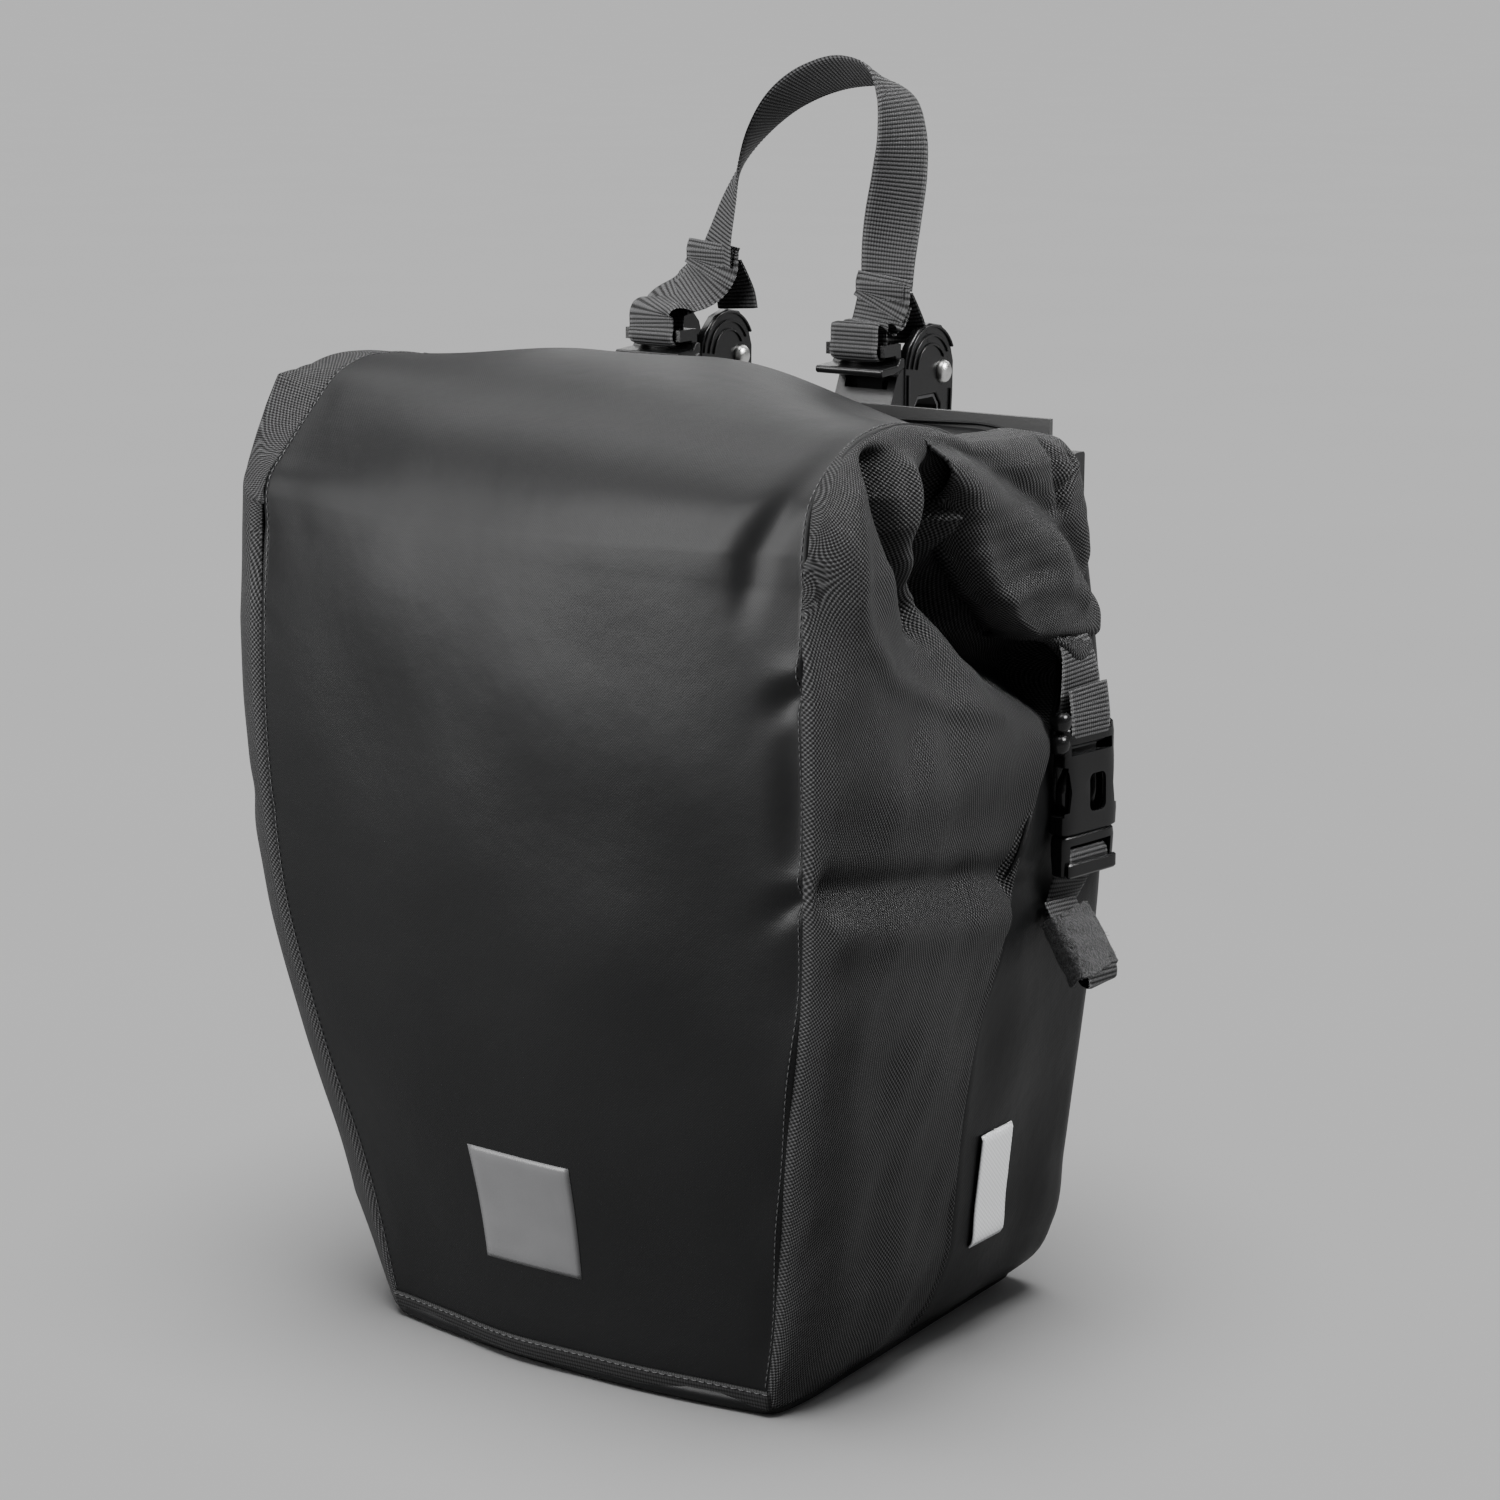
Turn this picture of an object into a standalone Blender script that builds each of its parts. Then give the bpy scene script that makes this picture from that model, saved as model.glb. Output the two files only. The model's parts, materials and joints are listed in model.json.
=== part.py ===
"""Roll-top bicycle pannier bag: sewn bag, roll closure with side buckles, rail hooks and handle.

Frame: metres, +Z up, Z = 0 under the base. +X is the end that faces the bicycle's rear,
-Y is the outward face and +Y the side that hangs on the rack.
"""
import math

import bmesh
import bpy
from mathutils import Vector

# ---------------------------------------------------------------- driving dimensions
BACK_Y = 0.0865             # outer face of the back wall
GAP = 0.0004                # clearance between neighbouring solids
WALL = 0.0030               # thickness of a fabric wall with its lining
BASE_THICK = 0.0040
TUB_TOP = 0.3450            # where the stiff tub ends and the roll-up collar begins
WEBBING = 0.0250
WEBBING_THICK = 0.0016

# height, depth from the back wall to the outward seam, half width at that seam and at the back
STATIONS = [
    (0.000, 0.190, 0.096, 0.100),
    (0.010, 0.192, 0.098, 0.115),
    (0.030, 0.194, 0.102, 0.127),
    (0.060, 0.198, 0.107, 0.131),
    (0.120, 0.210, 0.119, 0.138),
    (0.180, 0.218, 0.1305, 0.1445),
    (0.240, 0.223, 0.1345, 0.145),
    (0.300, 0.224, 0.1345, 0.139),
    (0.345, 0.220, 0.134, 0.132),
    (0.400, 0.205, 0.131, 0.124),
]
FACE_BULGE = 0.010          # how far the outward face stands proud between its seams
END_SWELL = 0.020           # how far an end swells beyond the line from seam to back
BACK_CORNER = 0.016
# height, and depth of the seam between the woven end and the back panel's wing
WRAP = [(0.000, 0.102), (0.050, 0.102), (0.118, 0.108), (0.148, 0.106), (0.175, 0.097),
        (0.205, 0.090), (0.240, 0.070), (0.280, 0.050), (0.345, 0.040), (0.400, 0.034)]
SEAM_GAP = 0.0016           # seam gap in outline units, two of which part two panels
REFLECTOR_HEIGHTS = (0.0400, 0.0920)
REFLECTOR_NEAR, REFLECTOR_FAR = 0.0620, 0.0860  # depths of its two upright edges at its foot
REFLECTOR_LEAN = 0.0040     # how much farther from the back wall its top lies

# crest of the collar: depth from the back wall, height, half width
CREST = [
    (0.2205, 0.3465, 0.1335), (0.2130, 0.3650, 0.1330), (0.1980, 0.3840, 0.1320),
    (0.1740, 0.3985, 0.1310), (0.1420, 0.4060, 0.1300), (0.1080, 0.4065, 0.1290),
    (0.0720, 0.4010, 0.1280), (0.0420, 0.3905, 0.1270),
]

ROLL_DEPTH, ROLL_Z = 0.0215, 0.3740
ROLL_RADIUS_Y, ROLL_RADIUS_Z = 0.0140, 0.0115
ROLL_HALF = 0.1250
STIFFENER_HALF_Z = 0.0080

STRAP_DEPTH = 0.0460        # centre of the end straps, ahead of the back wall
BUCKLE_X = 0.1540           # mid plane of a side buckle
BUCKLE_HALF_WIDTH, BUCKLE_HALF_THICK = 0.0175, 0.0052
BUCKLE_MOUTH = 0.2170       # lower edge of the female half
BUCKLE_TOP = BUCKLE_MOUTH + 0.0430
BAR_TOP = BUCKLE_TOP - 0.0015   # upper edge of the bar that the upper strap loops round
BUCKLE_FOOT = BUCKLE_MOUTH - 0.0180
PRONG_LENGTH = 0.0290
TAIL_LEAN = math.radians(34.0)  # the folded strap end leans out from the bag's end
TAIL_CENTRE = (0.1650, 0.1715)
TAIL_FORWARD = 0.0060       # how far it hangs towards the outward face
TAIL_LENGTH = 0.0300

RAIL_Z, RAIL_HALF, RAIL_HALF_HEIGHT = 0.3470, 0.1160, 0.0170
RAIL_OUT = 0.0085
HOOK_X = {"front": -0.0990, "rear": 0.0100}
HOOK_WIDTH = 0.0300
LATCH_WIDTH = 0.0130
SLOT_WIDTH = 0.0220
PIN_OUT, PIN_Z, PIN_RADIUS = 0.0520, 0.3880, 0.0022
BAR_OUT, BAR_Z, BAR_RADIUS = 0.0068, 0.4010, 0.0025
HANDLE_TOP = 0.5240
JOIN_OUT, JOIN_Z = 0.0250, 0.4300   # where the arch is sewn to its two end loops

LOWER_Z, LOWER_HALF, LOWER_HALF_HEIGHT = 0.1100, 0.0800, 0.0140
LOWER_HOOK_X = 0.0300

SHELL_SCREWS = [-0.095, 0.095]
LOWER_SCREWS = [-0.065, 0.065]
SCREW_HOLE = 0.0024         # radius of a screw's hole through the wall and the boards
BOARD_THICK, STRIP_THICK = 0.0024, 0.0030


# ---------------------------------------------------------------- helpers
def clear_scene():
    for item in list(bpy.data.objects):
        bpy.data.objects.remove(item, do_unlink=True)


def finish_material(name, colour, roughness, metallic=0.0):
    material = bpy.data.materials.new(name)
    material.use_nodes = True
    shader = material.node_tree.nodes["Principled BSDF"]
    shader.inputs["Base Color"].default_value = (*colour, 1.0)
    shader.inputs["Roughness"].default_value = roughness
    shader.inputs["Metallic"].default_value = metallic
    return material


def add_object(name, mesh_builder, material):
    mesh = bpy.data.meshes.new(name)
    bmesh.ops.remove_doubles(mesh_builder, verts=mesh_builder.verts, dist=1e-6)
    bmesh.ops.recalc_face_normals(mesh_builder, faces=mesh_builder.faces)
    mesh_builder.to_mesh(mesh)
    mesh_builder.free()
    item = bpy.data.objects.new(name, mesh)
    item.data.materials.append(material)
    bpy.context.scene.collection.objects.link(item)
    return item


def out(depth_behind):
    """World Y of a point that lies this far beyond the back wall, towards the rack."""
    return BACK_Y + depth_behind


def at(stations, height):
    """Values of a station list at a height, between its two nearest rows."""
    if height <= stations[0][0]:
        return stations[0][1:]
    for low, high in zip(stations, stations[1:]):
        if height <= high[0]:
            part = (height - low[0]) / (high[0] - low[0])
            return tuple(a + (b - a) * part for a, b in zip(low[1:], high[1:]))
    return stations[-1][1:]


def prism(name, outline, axis, low, high, material):
    """Closed prism: outline holds 2D points in the two axes that follow the given one."""
    builder = bmesh.new()
    order = {"X": (1, 2, 0), "Y": (0, 2, 1), "Z": (0, 1, 2)}[axis]

    def corner(point, level):
        place = [0.0, 0.0, 0.0]
        place[order[0]], place[order[1]], place[order[2]] = point[0], point[1], level
        return builder.verts.new(place)

    near = [corner(point, low) for point in outline]
    far = [corner(point, high) for point in outline]
    builder.faces.new(near)
    builder.faces.new(list(reversed(far)))
    count = len(outline)
    for i in range(count):
        j = (i + 1) % count
        builder.faces.new((near[i], near[j], far[j], far[i]))
    return add_object(name, builder, material)


def box(name, low, high, material):
    corners = [(low[0], low[1]), (high[0], low[1]), (high[0], high[1]), (low[0], high[1])]
    return prism(name, corners, "Z", low[2], high[2], material)


def disc(centre, radius, sides=24):
    step = 2.0 * math.pi / sides
    return [(centre[0] + radius * math.cos(step * i),
             centre[1] + radius * math.sin(step * i)) for i in range(sides)]


def rod(name, axis, centre, radius, low, high, material, sides=24):
    return prism(name, disc(centre, radius, sides), axis, low, high, material)


def rounded(low, high, radius, steps=4):
    """Rectangle outline with quarter-circle corners."""
    corners = [(high[0] - radius, high[1] - radius, 0.0), (low[0] + radius, high[1] - radius, 90.0),
               (low[0] + radius, low[1] + radius, 180.0), (high[0] - radius, low[1] + radius, 270.0)]
    points = []
    for x, y, start in corners:
        for i in range(steps + 1):
            angle = math.radians(start + 90.0 * i / steps)
            points.append((x + radius * math.cos(angle), y + radius * math.sin(angle)))
    return points


def cut(item, *cutters):
    for cutter in cutters:
        cutter.hide_render = True
        cutter.display_type = "WIRE"
        modifier = item.modifiers.new("cut_" + cutter.name, "BOOLEAN")
        modifier.operation = "DIFFERENCE"
        modifier.object = cutter


def fuse(item, *others):
    for other in others:
        other.hide_render = True
        other.display_type = "WIRE"
        modifier = item.modifiers.new("with_" + other.name, "BOOLEAN")
        modifier.operation = "UNION"
        modifier.object = other


def ribbon(name, path, thickness, axis, low, high, material):
    """Flat strip that follows a 2D path; its width runs along axis from low to high."""
    left, right = [], []
    for i, point in enumerate(path):
        before, after = Vector(path[max(i - 1, 0)]), Vector(path[min(i + 1, len(path) - 1)])
        along = (after - before).normalized()
        side = Vector((-along.y, along.x)) * thickness / 2.0
        left.append(tuple(Vector(point) + side))
        right.append(tuple(Vector(point) - side))
    return prism(name, left + list(reversed(right)), axis, low, high, material)


def arc(centre, radius, start, end, steps):
    """Points on a circle between two angles in degrees."""
    points = []
    for i in range(steps + 1):
        angle = math.radians(start + (end - start) * i / steps)
        points.append((centre[0] + radius * math.cos(angle), centre[1] + radius * math.sin(angle)))
    return points


def slab(name, outer, inner, material):
    """Closed sheet between two matching grids of points."""
    builder = bmesh.new()
    rows, columns = len(outer), len(outer[0])
    top = [[builder.verts.new(p) for p in row] for row in outer]
    low = [[builder.verts.new(p) for p in row] for row in inner]

    def quad(a, b, c, d):
        builder.faces.new((a, b, c, d))

    for r in range(rows - 1):
        for c in range(columns - 1):
            quad(top[r][c], top[r][c + 1], top[r + 1][c + 1], top[r + 1][c])
            quad(low[r][c], low[r + 1][c], low[r + 1][c + 1], low[r][c + 1])
    for r in range(rows - 1):
        for c in (0, columns - 1):
            quad(top[r][c], top[r + 1][c], low[r + 1][c], low[r][c])
    for c in range(columns - 1):
        for r in (0, rows - 1):
            quad(top[r][c], top[r][c + 1], low[r][c + 1], low[r][c])
    return add_object(name, builder, material)


# ---------------------------------------------------------------- bag outline
def end_half_width(height, depth):
    """Half width of the bag at a height and at a depth ahead of the back wall."""
    front_depth, half_front, half_back = at(STATIONS, height)
    part = min(max(1.0 - depth / front_depth, 0.0), 1.0)
    width = half_front + (half_back - half_front) * part
    width += END_SWELL * min(1.0, height / 0.06 + 0.25) * math.sqrt(min(part / 0.1, 1.0)) * (1.0 - part)
    if depth < BACK_CORNER:
        width -= BACK_CORNER - math.sqrt(BACK_CORNER ** 2 - (BACK_CORNER - depth) ** 2)
    return width


def outline_point(height, station):
    """Point of the horizontal outline: 0-1 outward face, 1-2 rear end, 2-3 back, 3-4 front end."""
    station %= 4.0
    depth, half_front, _ = at(STATIONS, height)
    if station <= 1.0:
        across = 2.0 * station - 1.0
        bulge = FACE_BULGE * (1.0 - across * across)
        return Vector((half_front * across, BACK_Y - depth - bulge))
    if station <= 2.0:
        ahead = depth * (2.0 - station)
        return Vector((end_half_width(height, ahead), BACK_Y - ahead))
    if station <= 3.0:
        across = 5.0 - 2.0 * station
        return Vector((end_half_width(height, 0.0) * across, BACK_Y))
    ahead = depth * (station - 3.0)
    return Vector((-end_half_width(height, ahead), BACK_Y - ahead))


def inward(height, station, distance):
    """Outline point moved towards the inside of the bag."""
    before, after = outline_point(height, station - 0.02), outline_point(height, station + 0.02)
    along = (after - before).normalized()
    side = Vector((-along.y, along.x))
    place = outline_point(height, station) + side * distance
    return (place.x, place.y, height)


def wrap_station(height):
    """Outline station of the seam between the woven end and the smooth back fabric."""
    depth = at(STATIONS, height)[0]
    return 2.0 - at(WRAP, height)[0] / depth


def wall(name, heights, columns, start_of, end_of, material, lift=0.0, thick=WALL):
    """Panel of the bag between two outline stations that may change with height."""
    outer, inner = [], []
    for height in heights:
        stations = spread(start_of(height), end_of(height), columns)
        outer.append([inward(height, s, -lift) for s in stations])
        inner.append([inward(height, s, thick - lift) for s in stations])
    return slab(name, outer, inner, material)


def spread(low, high, steps):
    return [low + (high - low) * i / steps for i in range(steps + 1)]


# ---------------------------------------------------------------- sewn bag
def build_tub(fabric, woven):
    low = BASE_THICK + GAP
    heights = [low, 0.015, 0.030, 0.060, 0.120, 0.180, 0.240, 0.300, TUB_TOP]
    wall("outward_panel", heights, 8, lambda z: SEAM_GAP, lambda z: 1.0 - SEAM_GAP, fabric)
    wall("rear_gusset", heights, 7, lambda z: 1.0 + SEAM_GAP,
         lambda z: wrap_station(z) - SEAM_GAP, woven)
    wall("front_gusset", heights, 7, lambda z: 5.0 - wrap_station(z) + SEAM_GAP,
         lambda z: 4.0 - SEAM_GAP, woven)
    build_back_panel(low, fabric)
    outline = [outline_point(0.0, s)[:] for s in spread(0.0, 1.0, 8)]
    outline += [outline_point(0.0, s)[:] for s in spread(1.12, 2.0, 7)]
    outline += [outline_point(0.0, s)[:] for s in spread(3.0, 3.88, 7)]
    prism("base_panel", outline, "Z", 0.0, BASE_THICK, fabric)


def build_back_panel(low, fabric):
    """Back wall and the two wings that wrap round the ends."""
    outer, inner = [], []
    for height in [low, 0.015, 0.030, 0.060, 0.120, 0.180, 0.240, 0.300, 0.330, TUB_TOP]:
        begin = wrap_station(height) + SEAM_GAP
        knee = 2.0 - BACK_CORNER / at(STATIONS, height)[0]
        wing = spread(begin, knee, 3) + [2.0 - (2.0 - knee) * k for k in (0.55, 0.2)]
        stations = wing + spread(2.03, 2.97, 6) + [5.0 - s for s in reversed(wing)]
        outer.append([inward(height, s, 0.0) for s in stations])
        inner.append([inward(height, s, WALL) for s in stations])
    panel = slab("back_panel", outer, inner, fabric)
    for i, x in enumerate(SHELL_SCREWS):
        cut(panel, rod("panel_hole_%d" % i, "Y", (x, RAIL_Z), SCREW_HOLE, out(-0.02),
                       out(0.01), fabric))
    for i, x in enumerate(LOWER_SCREWS):
        cut(panel, rod("low_panel_hole_%d" % i, "Y", (x, LOWER_Z), SCREW_HOLE,
                       out(-0.02), out(0.01), fabric))


def build_stiffeners(plastic, steel):
    """Flat board behind the back wall, base board, and the strips that hold the rail screws."""
    face = out(-WALL - GAP)
    board = prism("back_board", rounded((-0.100, 0.016), (0.100, 0.362), 0.012), "Y",
                  face - BOARD_THICK, face, plastic)
    holes = [(x, RAIL_Z) for x in SHELL_SCREWS] + [(x, LOWER_Z) for x in LOWER_SCREWS]
    for i, place in enumerate(holes):
        cut(board, rod("board_hole_%d" % i, "Y", place, SCREW_HOLE, face - 0.01, face + 0.01, plastic))
    prism("base_board", rounded((-0.086, BACK_Y - 0.180), (0.086, BACK_Y - 0.012), 0.012), "Z",
          BASE_THICK + GAP, BASE_THICK + GAP + BOARD_THICK, plastic)
    strip_face = face - BOARD_THICK - GAP
    for name, screws, height in (("upper_nut_strip", SHELL_SCREWS, RAIL_Z),
                                 ("lower_nut_strip", LOWER_SCREWS, LOWER_Z)):
        reach = screws[-1] + 0.010
        strip = prism(name, rounded((-reach, height - 0.007), (reach, height + 0.007), 0.004),
                      "Y", strip_face - STRIP_THICK, strip_face, steel)
        for i, x in enumerate(screws):
            cut(strip, rod("%s_hole_%d" % (name, i), "Y", (x, height), SCREW_HOLE,
                           strip_face - 0.01, strip_face + 0.01, steel))
    return strip_face


def reflector_station(height, depth):
    """Outline station of an upright edge of the reflector, which leans away from the back wall."""
    low, high = REFLECTOR_HEIGHTS
    ahead = depth + REFLECTOR_LEAN * (height - low) / (high - low)
    return 2.0 - ahead / at(STATIONS, height)[0]


def build_trim(reflective, badge_grey, binding):
    """Blank badge patch, an end reflector on each wing and the binding under the outward face."""
    heights = spread(0.037, 0.088, 2)
    wall("badge_patch", heights, 4, lambda z: 0.342, lambda z: 0.557, badge_grey,
         lift=GAP + 0.0006, thick=0.0006)

    heights = spread(*REFLECTOR_HEIGHTS, 3)
    wall("rear_reflector", heights, 2, lambda z: reflector_station(z, REFLECTOR_FAR),
         lambda z: reflector_station(z, REFLECTOR_NEAR), reflective, lift=GAP + 0.0006, thick=0.0006)
    wall("front_reflector", heights, 2, lambda z: 5.0 - reflector_station(z, REFLECTOR_NEAR),
         lambda z: 5.0 - reflector_station(z, REFLECTOR_FAR), reflective, lift=GAP + 0.0006,
         thick=0.0006)
    wall("base_binding", [0.0, 0.005, 0.009], 8, lambda z: SEAM_GAP * 3, lambda z: 1.0 - SEAM_GAP * 3,
         binding, lift=GAP + 0.0014, thick=0.0014)


# ---------------------------------------------------------------- roll-up collar
def crest_inner(outer):
    """Matching inner grid, one wall thickness under the crest."""
    inner = []
    last = len(outer) - 1
    for r, row in enumerate(outer):
        before, after = Vector(outer[max(r - 1, 0)][0]), Vector(outer[min(r + 1, last)][0])
        along = (after - before).normalized()
        down = Vector((0.0, along.z, -along.y)) * WALL
        inner.append([tuple(Vector(p) + down) for p in row])
    return inner


def build_collar(fabric, woven, plastic):
    outer = []
    for depth, height, half in CREST:
        bulge = FACE_BULGE * max(0.0, (depth - 0.15) / 0.07)
        row = [(half * (2.0 * c / 8 - 1.0),
                BACK_Y - depth - bulge * (1.0 - (2.0 * c / 8 - 1.0) ** 2), height)
               for c in range(9)]
        outer.append(row)
    slab("crest_panel", outer, crest_inner(outer), fabric)
    build_collar_ends(woven)
    build_roll(fabric, plastic)
    build_ears(woven)


def crest_under(depth):
    """Height just under the crest panel at a depth ahead of the back wall."""
    rows = sorted((d, z) for d, z, _ in CREST)
    if depth <= rows[0][0]:
        return rows[0][1] - WALL - 0.0015
    for low, high in zip(rows, rows[1:]):
        if depth <= high[0]:
            part = (depth - low[0]) / (high[0] - low[0])
            height = low[1] + (high[1] - low[1]) * part
            slope = abs(high[1] - low[1]) / (high[0] - low[0])
            return height - WALL * math.hypot(1.0, slope) - 0.0015
    return rows[-1][1]


def build_collar_ends(woven):
    """Pleated woven ends of the collar, from the tub's rim up to the crest."""
    inset = 0.0065
    for side, name in ((1, "rear_collar_end"), (-1, "front_collar_end")):
        outer, inner = [], []
        depths = [0.2020, 0.1860, 0.1620, 0.1320, 0.1000, 0.0730]
        for level in (0.0, 0.5, 1.0):
            row, back = [], []
            for depth in depths:
                half = end_half_width(TUB_TOP, depth) - inset * level
                half = min(half, 0.1345 + 0.010 * (1.0 - level))
                height = TUB_TOP + GAP * 2 + (crest_under(depth) - TUB_TOP - GAP * 2) * level
                row.append((side * half, BACK_Y - depth, height))
                back.append((side * (half - WALL), BACK_Y - depth, height))
            outer.append(row)
            inner.append(back)
        slab(name, outer, inner, woven)


def build_roll(fabric, plastic):
    centre = (BACK_Y - ROLL_DEPTH, ROLL_Z)
    outline = [(centre[0] + ROLL_RADIUS_Y * math.cos(a), centre[1] + ROLL_RADIUS_Z * math.sin(a))
               for a in spread(0.0, 2.0 * math.pi, 20)[:-1]]
    roll = prism("rolled_mouth", outline, "X", -ROLL_HALF, ROLL_HALF, fabric)
    hollow = box("roll_hollow", (-0.2, centre[0] - 0.0018, ROLL_Z - STIFFENER_HALF_Z - 0.0006),
                 (0.2, centre[0] + 0.0018, ROLL_Z + STIFFENER_HALF_Z + 0.0006), fabric)
    cut(roll, hollow)
    box("mouth_stiffener", (-ROLL_HALF + 0.002, centre[0] - 0.0012, ROLL_Z - STIFFENER_HALF_Z),
        (ROLL_HALF - 0.002, centre[0] + 0.0012, ROLL_Z + STIFFENER_HALF_Z), plastic)


def build_ears(woven):
    """Ends of the roll, folded down over the ends of the bag."""
    for side, name in ((1, "rear_ear"), (-1, "front_ear")):
        path = [(0.1275, 0.3760), (0.1335, 0.3760), (0.1395, 0.3700), (0.1430, 0.3560),
                (0.1455, 0.3350), (0.1475, 0.3100), (0.1490, 0.2850)]
        strip = [(side * x, z) for x, z in path]
        ribbon_xz(name, strip, 0.0044, BACK_Y - 0.070, BACK_Y - 0.010, woven)


def ribbon_xz(name, path, thickness, low, high, material):
    return ribbon(name, path, thickness, "Y", low, high, material)


# ---------------------------------------------------------------- end straps and buckles
def build_side(side, name, webbing, plastic):
    """Upper strap, buckle, lower strap with its folded tail and keeper, on one end."""
    middle = BACK_Y - STRAP_DEPTH
    low_y, high_y = middle - WEBBING / 2, middle + WEBBING / 2
    x = side * BUCKLE_X

    def placed(points):
        return [(side * (BUCKLE_X + px), pz) for px, pz in points]

    bar = (0.0, BAR_TOP - 0.0015)
    upper = [(-0.0036, 0.2835), (-0.0032, 0.2790), (-0.0030, 0.2700)]
    upper += arc(bar, 0.0030, 180.0, 350.0, 8) + [(0.0030, 0.2700), (0.0010, 0.2830)]
    ribbon_xz(name + "_upper_strap", placed(upper), WEBBING_THICK, low_y, high_y, webbing)
    build_female(name, x, middle, side, plastic)
    build_male(name, x, middle, plastic)
    rung = (0.0, BUCKLE_FOOT + 0.0045)
    lower = [(-0.0100, 0.1550), (-0.0084, 0.1620), (-0.0052, 0.1760), (-0.0030, 0.1960)]
    lower += arc(rung, 0.0030, 180.0, 10.0, 8) + [(0.0036, 0.1940), (0.0034, 0.1885)]
    ribbon_xz(name + "_lower_strap", placed(lower), WEBBING_THICK, low_y, high_y, webbing)
    build_tail(side, name, middle, webbing)


def build_tail(side, name, middle, webbing):
    """Free end of the strap folded into a bundle, held by a hook-and-loop keeper."""
    half = TAIL_LENGTH / 2
    bundle = prism(name + "_tail_bundle", rounded((-0.0030, -0.0125), (0.0030, 0.0125), 0.0015),
                   "Z", -half - 0.002, half, webbing)
    band = prism(name + "_tail_keeper", rounded((-0.0048, -0.0143), (0.0048, 0.0143), 0.0030),
                 "Z", -half, half - 0.002, webbing)
    hollow = prism(name + "_keeper_hollow", rounded((-0.0034, -0.0129), (0.0034, 0.0129), 0.0018),
                   "Z", -0.05, 0.05, webbing)
    cut(band, hollow)
    for item in (bundle, band, hollow):
        item.location = (side * TAIL_CENTRE[0], middle - TAIL_FORWARD, TAIL_CENTRE[1])
        item.rotation_euler = (0.0, -side * TAIL_LEAN, 0.0)


def build_female(name, x, middle, side, plastic):
    """Hollow half, open below, with a window on each edge for the thumb tabs."""
    half_y, half_x = BUCKLE_HALF_WIDTH, BUCKLE_HALF_THICK
    mouth = BUCKLE_MOUTH
    body = prism(name + "_female_buckle", rounded((x - half_x, middle - half_y),
                 (x + half_x, middle + half_y), 0.0035), "Z", mouth, BUCKLE_TOP, plastic)
    cavity = box(name + "_cavity", (x - 0.0032, middle - 0.0156, mouth - 0.01),
                 (x + 0.0032, middle + 0.0156, mouth + 0.0315), plastic)
    windows = box(name + "_windows", (x - 0.0032, middle - 0.03, mouth + 0.0080),
                  (x + 0.0032, middle + 0.03, mouth + 0.0285), plastic)
    front = prism(name + "_front_window",
                  rounded((middle - 0.0050, mouth + 0.0070), (middle + 0.0050, mouth + 0.0250), 0.003),
                  "X", min(x, x + side * 0.01), max(x, x + side * 0.01), plastic)
    slot = strap_cut(name + "_strap_slot", x, 0.02, middle, mouth + 0.0345, BAR_TOP - 0.0030, plastic)
    above = strap_cut(name + "_above_bar", x, 0.02, middle, BAR_TOP, BAR_TOP + 0.01, plastic)
    beside = [strap_cut("%s_beside_bar_%d" % (name, turn), x + turn * 0.0108, 0.0093, middle,
                        BAR_TOP - 0.0031, BAR_TOP + 0.01, plastic) for turn in (-1, 1)]
    cut(body, cavity, windows, front, slot, above, *beside)


def strap_cut(name, x, half_x, middle, low, high, plastic):
    """Cutter as wide as the webbing, used where a strap passes through a buckle."""
    return box(name, (x - half_x, middle - 0.0130, low), (x + half_x, middle + 0.0130, high), plastic)


def build_male(name, x, middle, plastic):
    """Ladder half with its centre tongue; the two springy arms are pieces of their own."""
    foot, mouth = BUCKLE_FOOT, BUCKLE_MOUTH
    body = prism(name + "_male_buckle", rounded((middle - 0.0165, foot), (middle + 0.0165, mouth - GAP),
                 0.0025), "X", x - 0.0042, x + 0.0042, plastic)
    tongue = box(name + "_tongue", (x - 0.0018, middle - 0.0022, mouth - 0.004),
                 (x + 0.0018, middle + 0.0022, mouth + 0.0280), plastic)
    fuse(body, tongue)
    cut(body, strap_cut(name + "_ladder", x, 0.02, middle, foot - 0.01, foot + 0.0120, plastic))
    rung = box(name + "_rung", (x - 0.0013, middle - 0.0150, foot + 0.0034),
               (x + 0.0013, middle + 0.0150, foot + 0.0056), plastic)
    fuse(body, rung)
    for turn, label in ((1, "inner"), (-1, "outer")):
        build_prong("%s_%s_prong" % (name, label), x, middle, turn, plastic)


def build_prong(name, x, middle, turn, plastic):
    """Springy arm of the male half, with the thumb tab that fills the female half's window."""
    shape = [(0.0078, 0.0), (0.0108, 0.0), (0.0122, 0.31), (0.0148, 0.40), (0.0153, 0.61),
             (0.0146, 0.81), (0.0110, 0.97), (0.0082, 1.0), (0.0078, 0.89), (0.0096, 0.72),
             (0.0100, 0.44), (0.0090, 0.25)]
    outline = [(middle + turn * y, BUCKLE_MOUTH + PRONG_LENGTH * part) for y, part in shape]
    prism(name, outline, "X", x - 0.0027, x + 0.0027, plastic)


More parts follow.
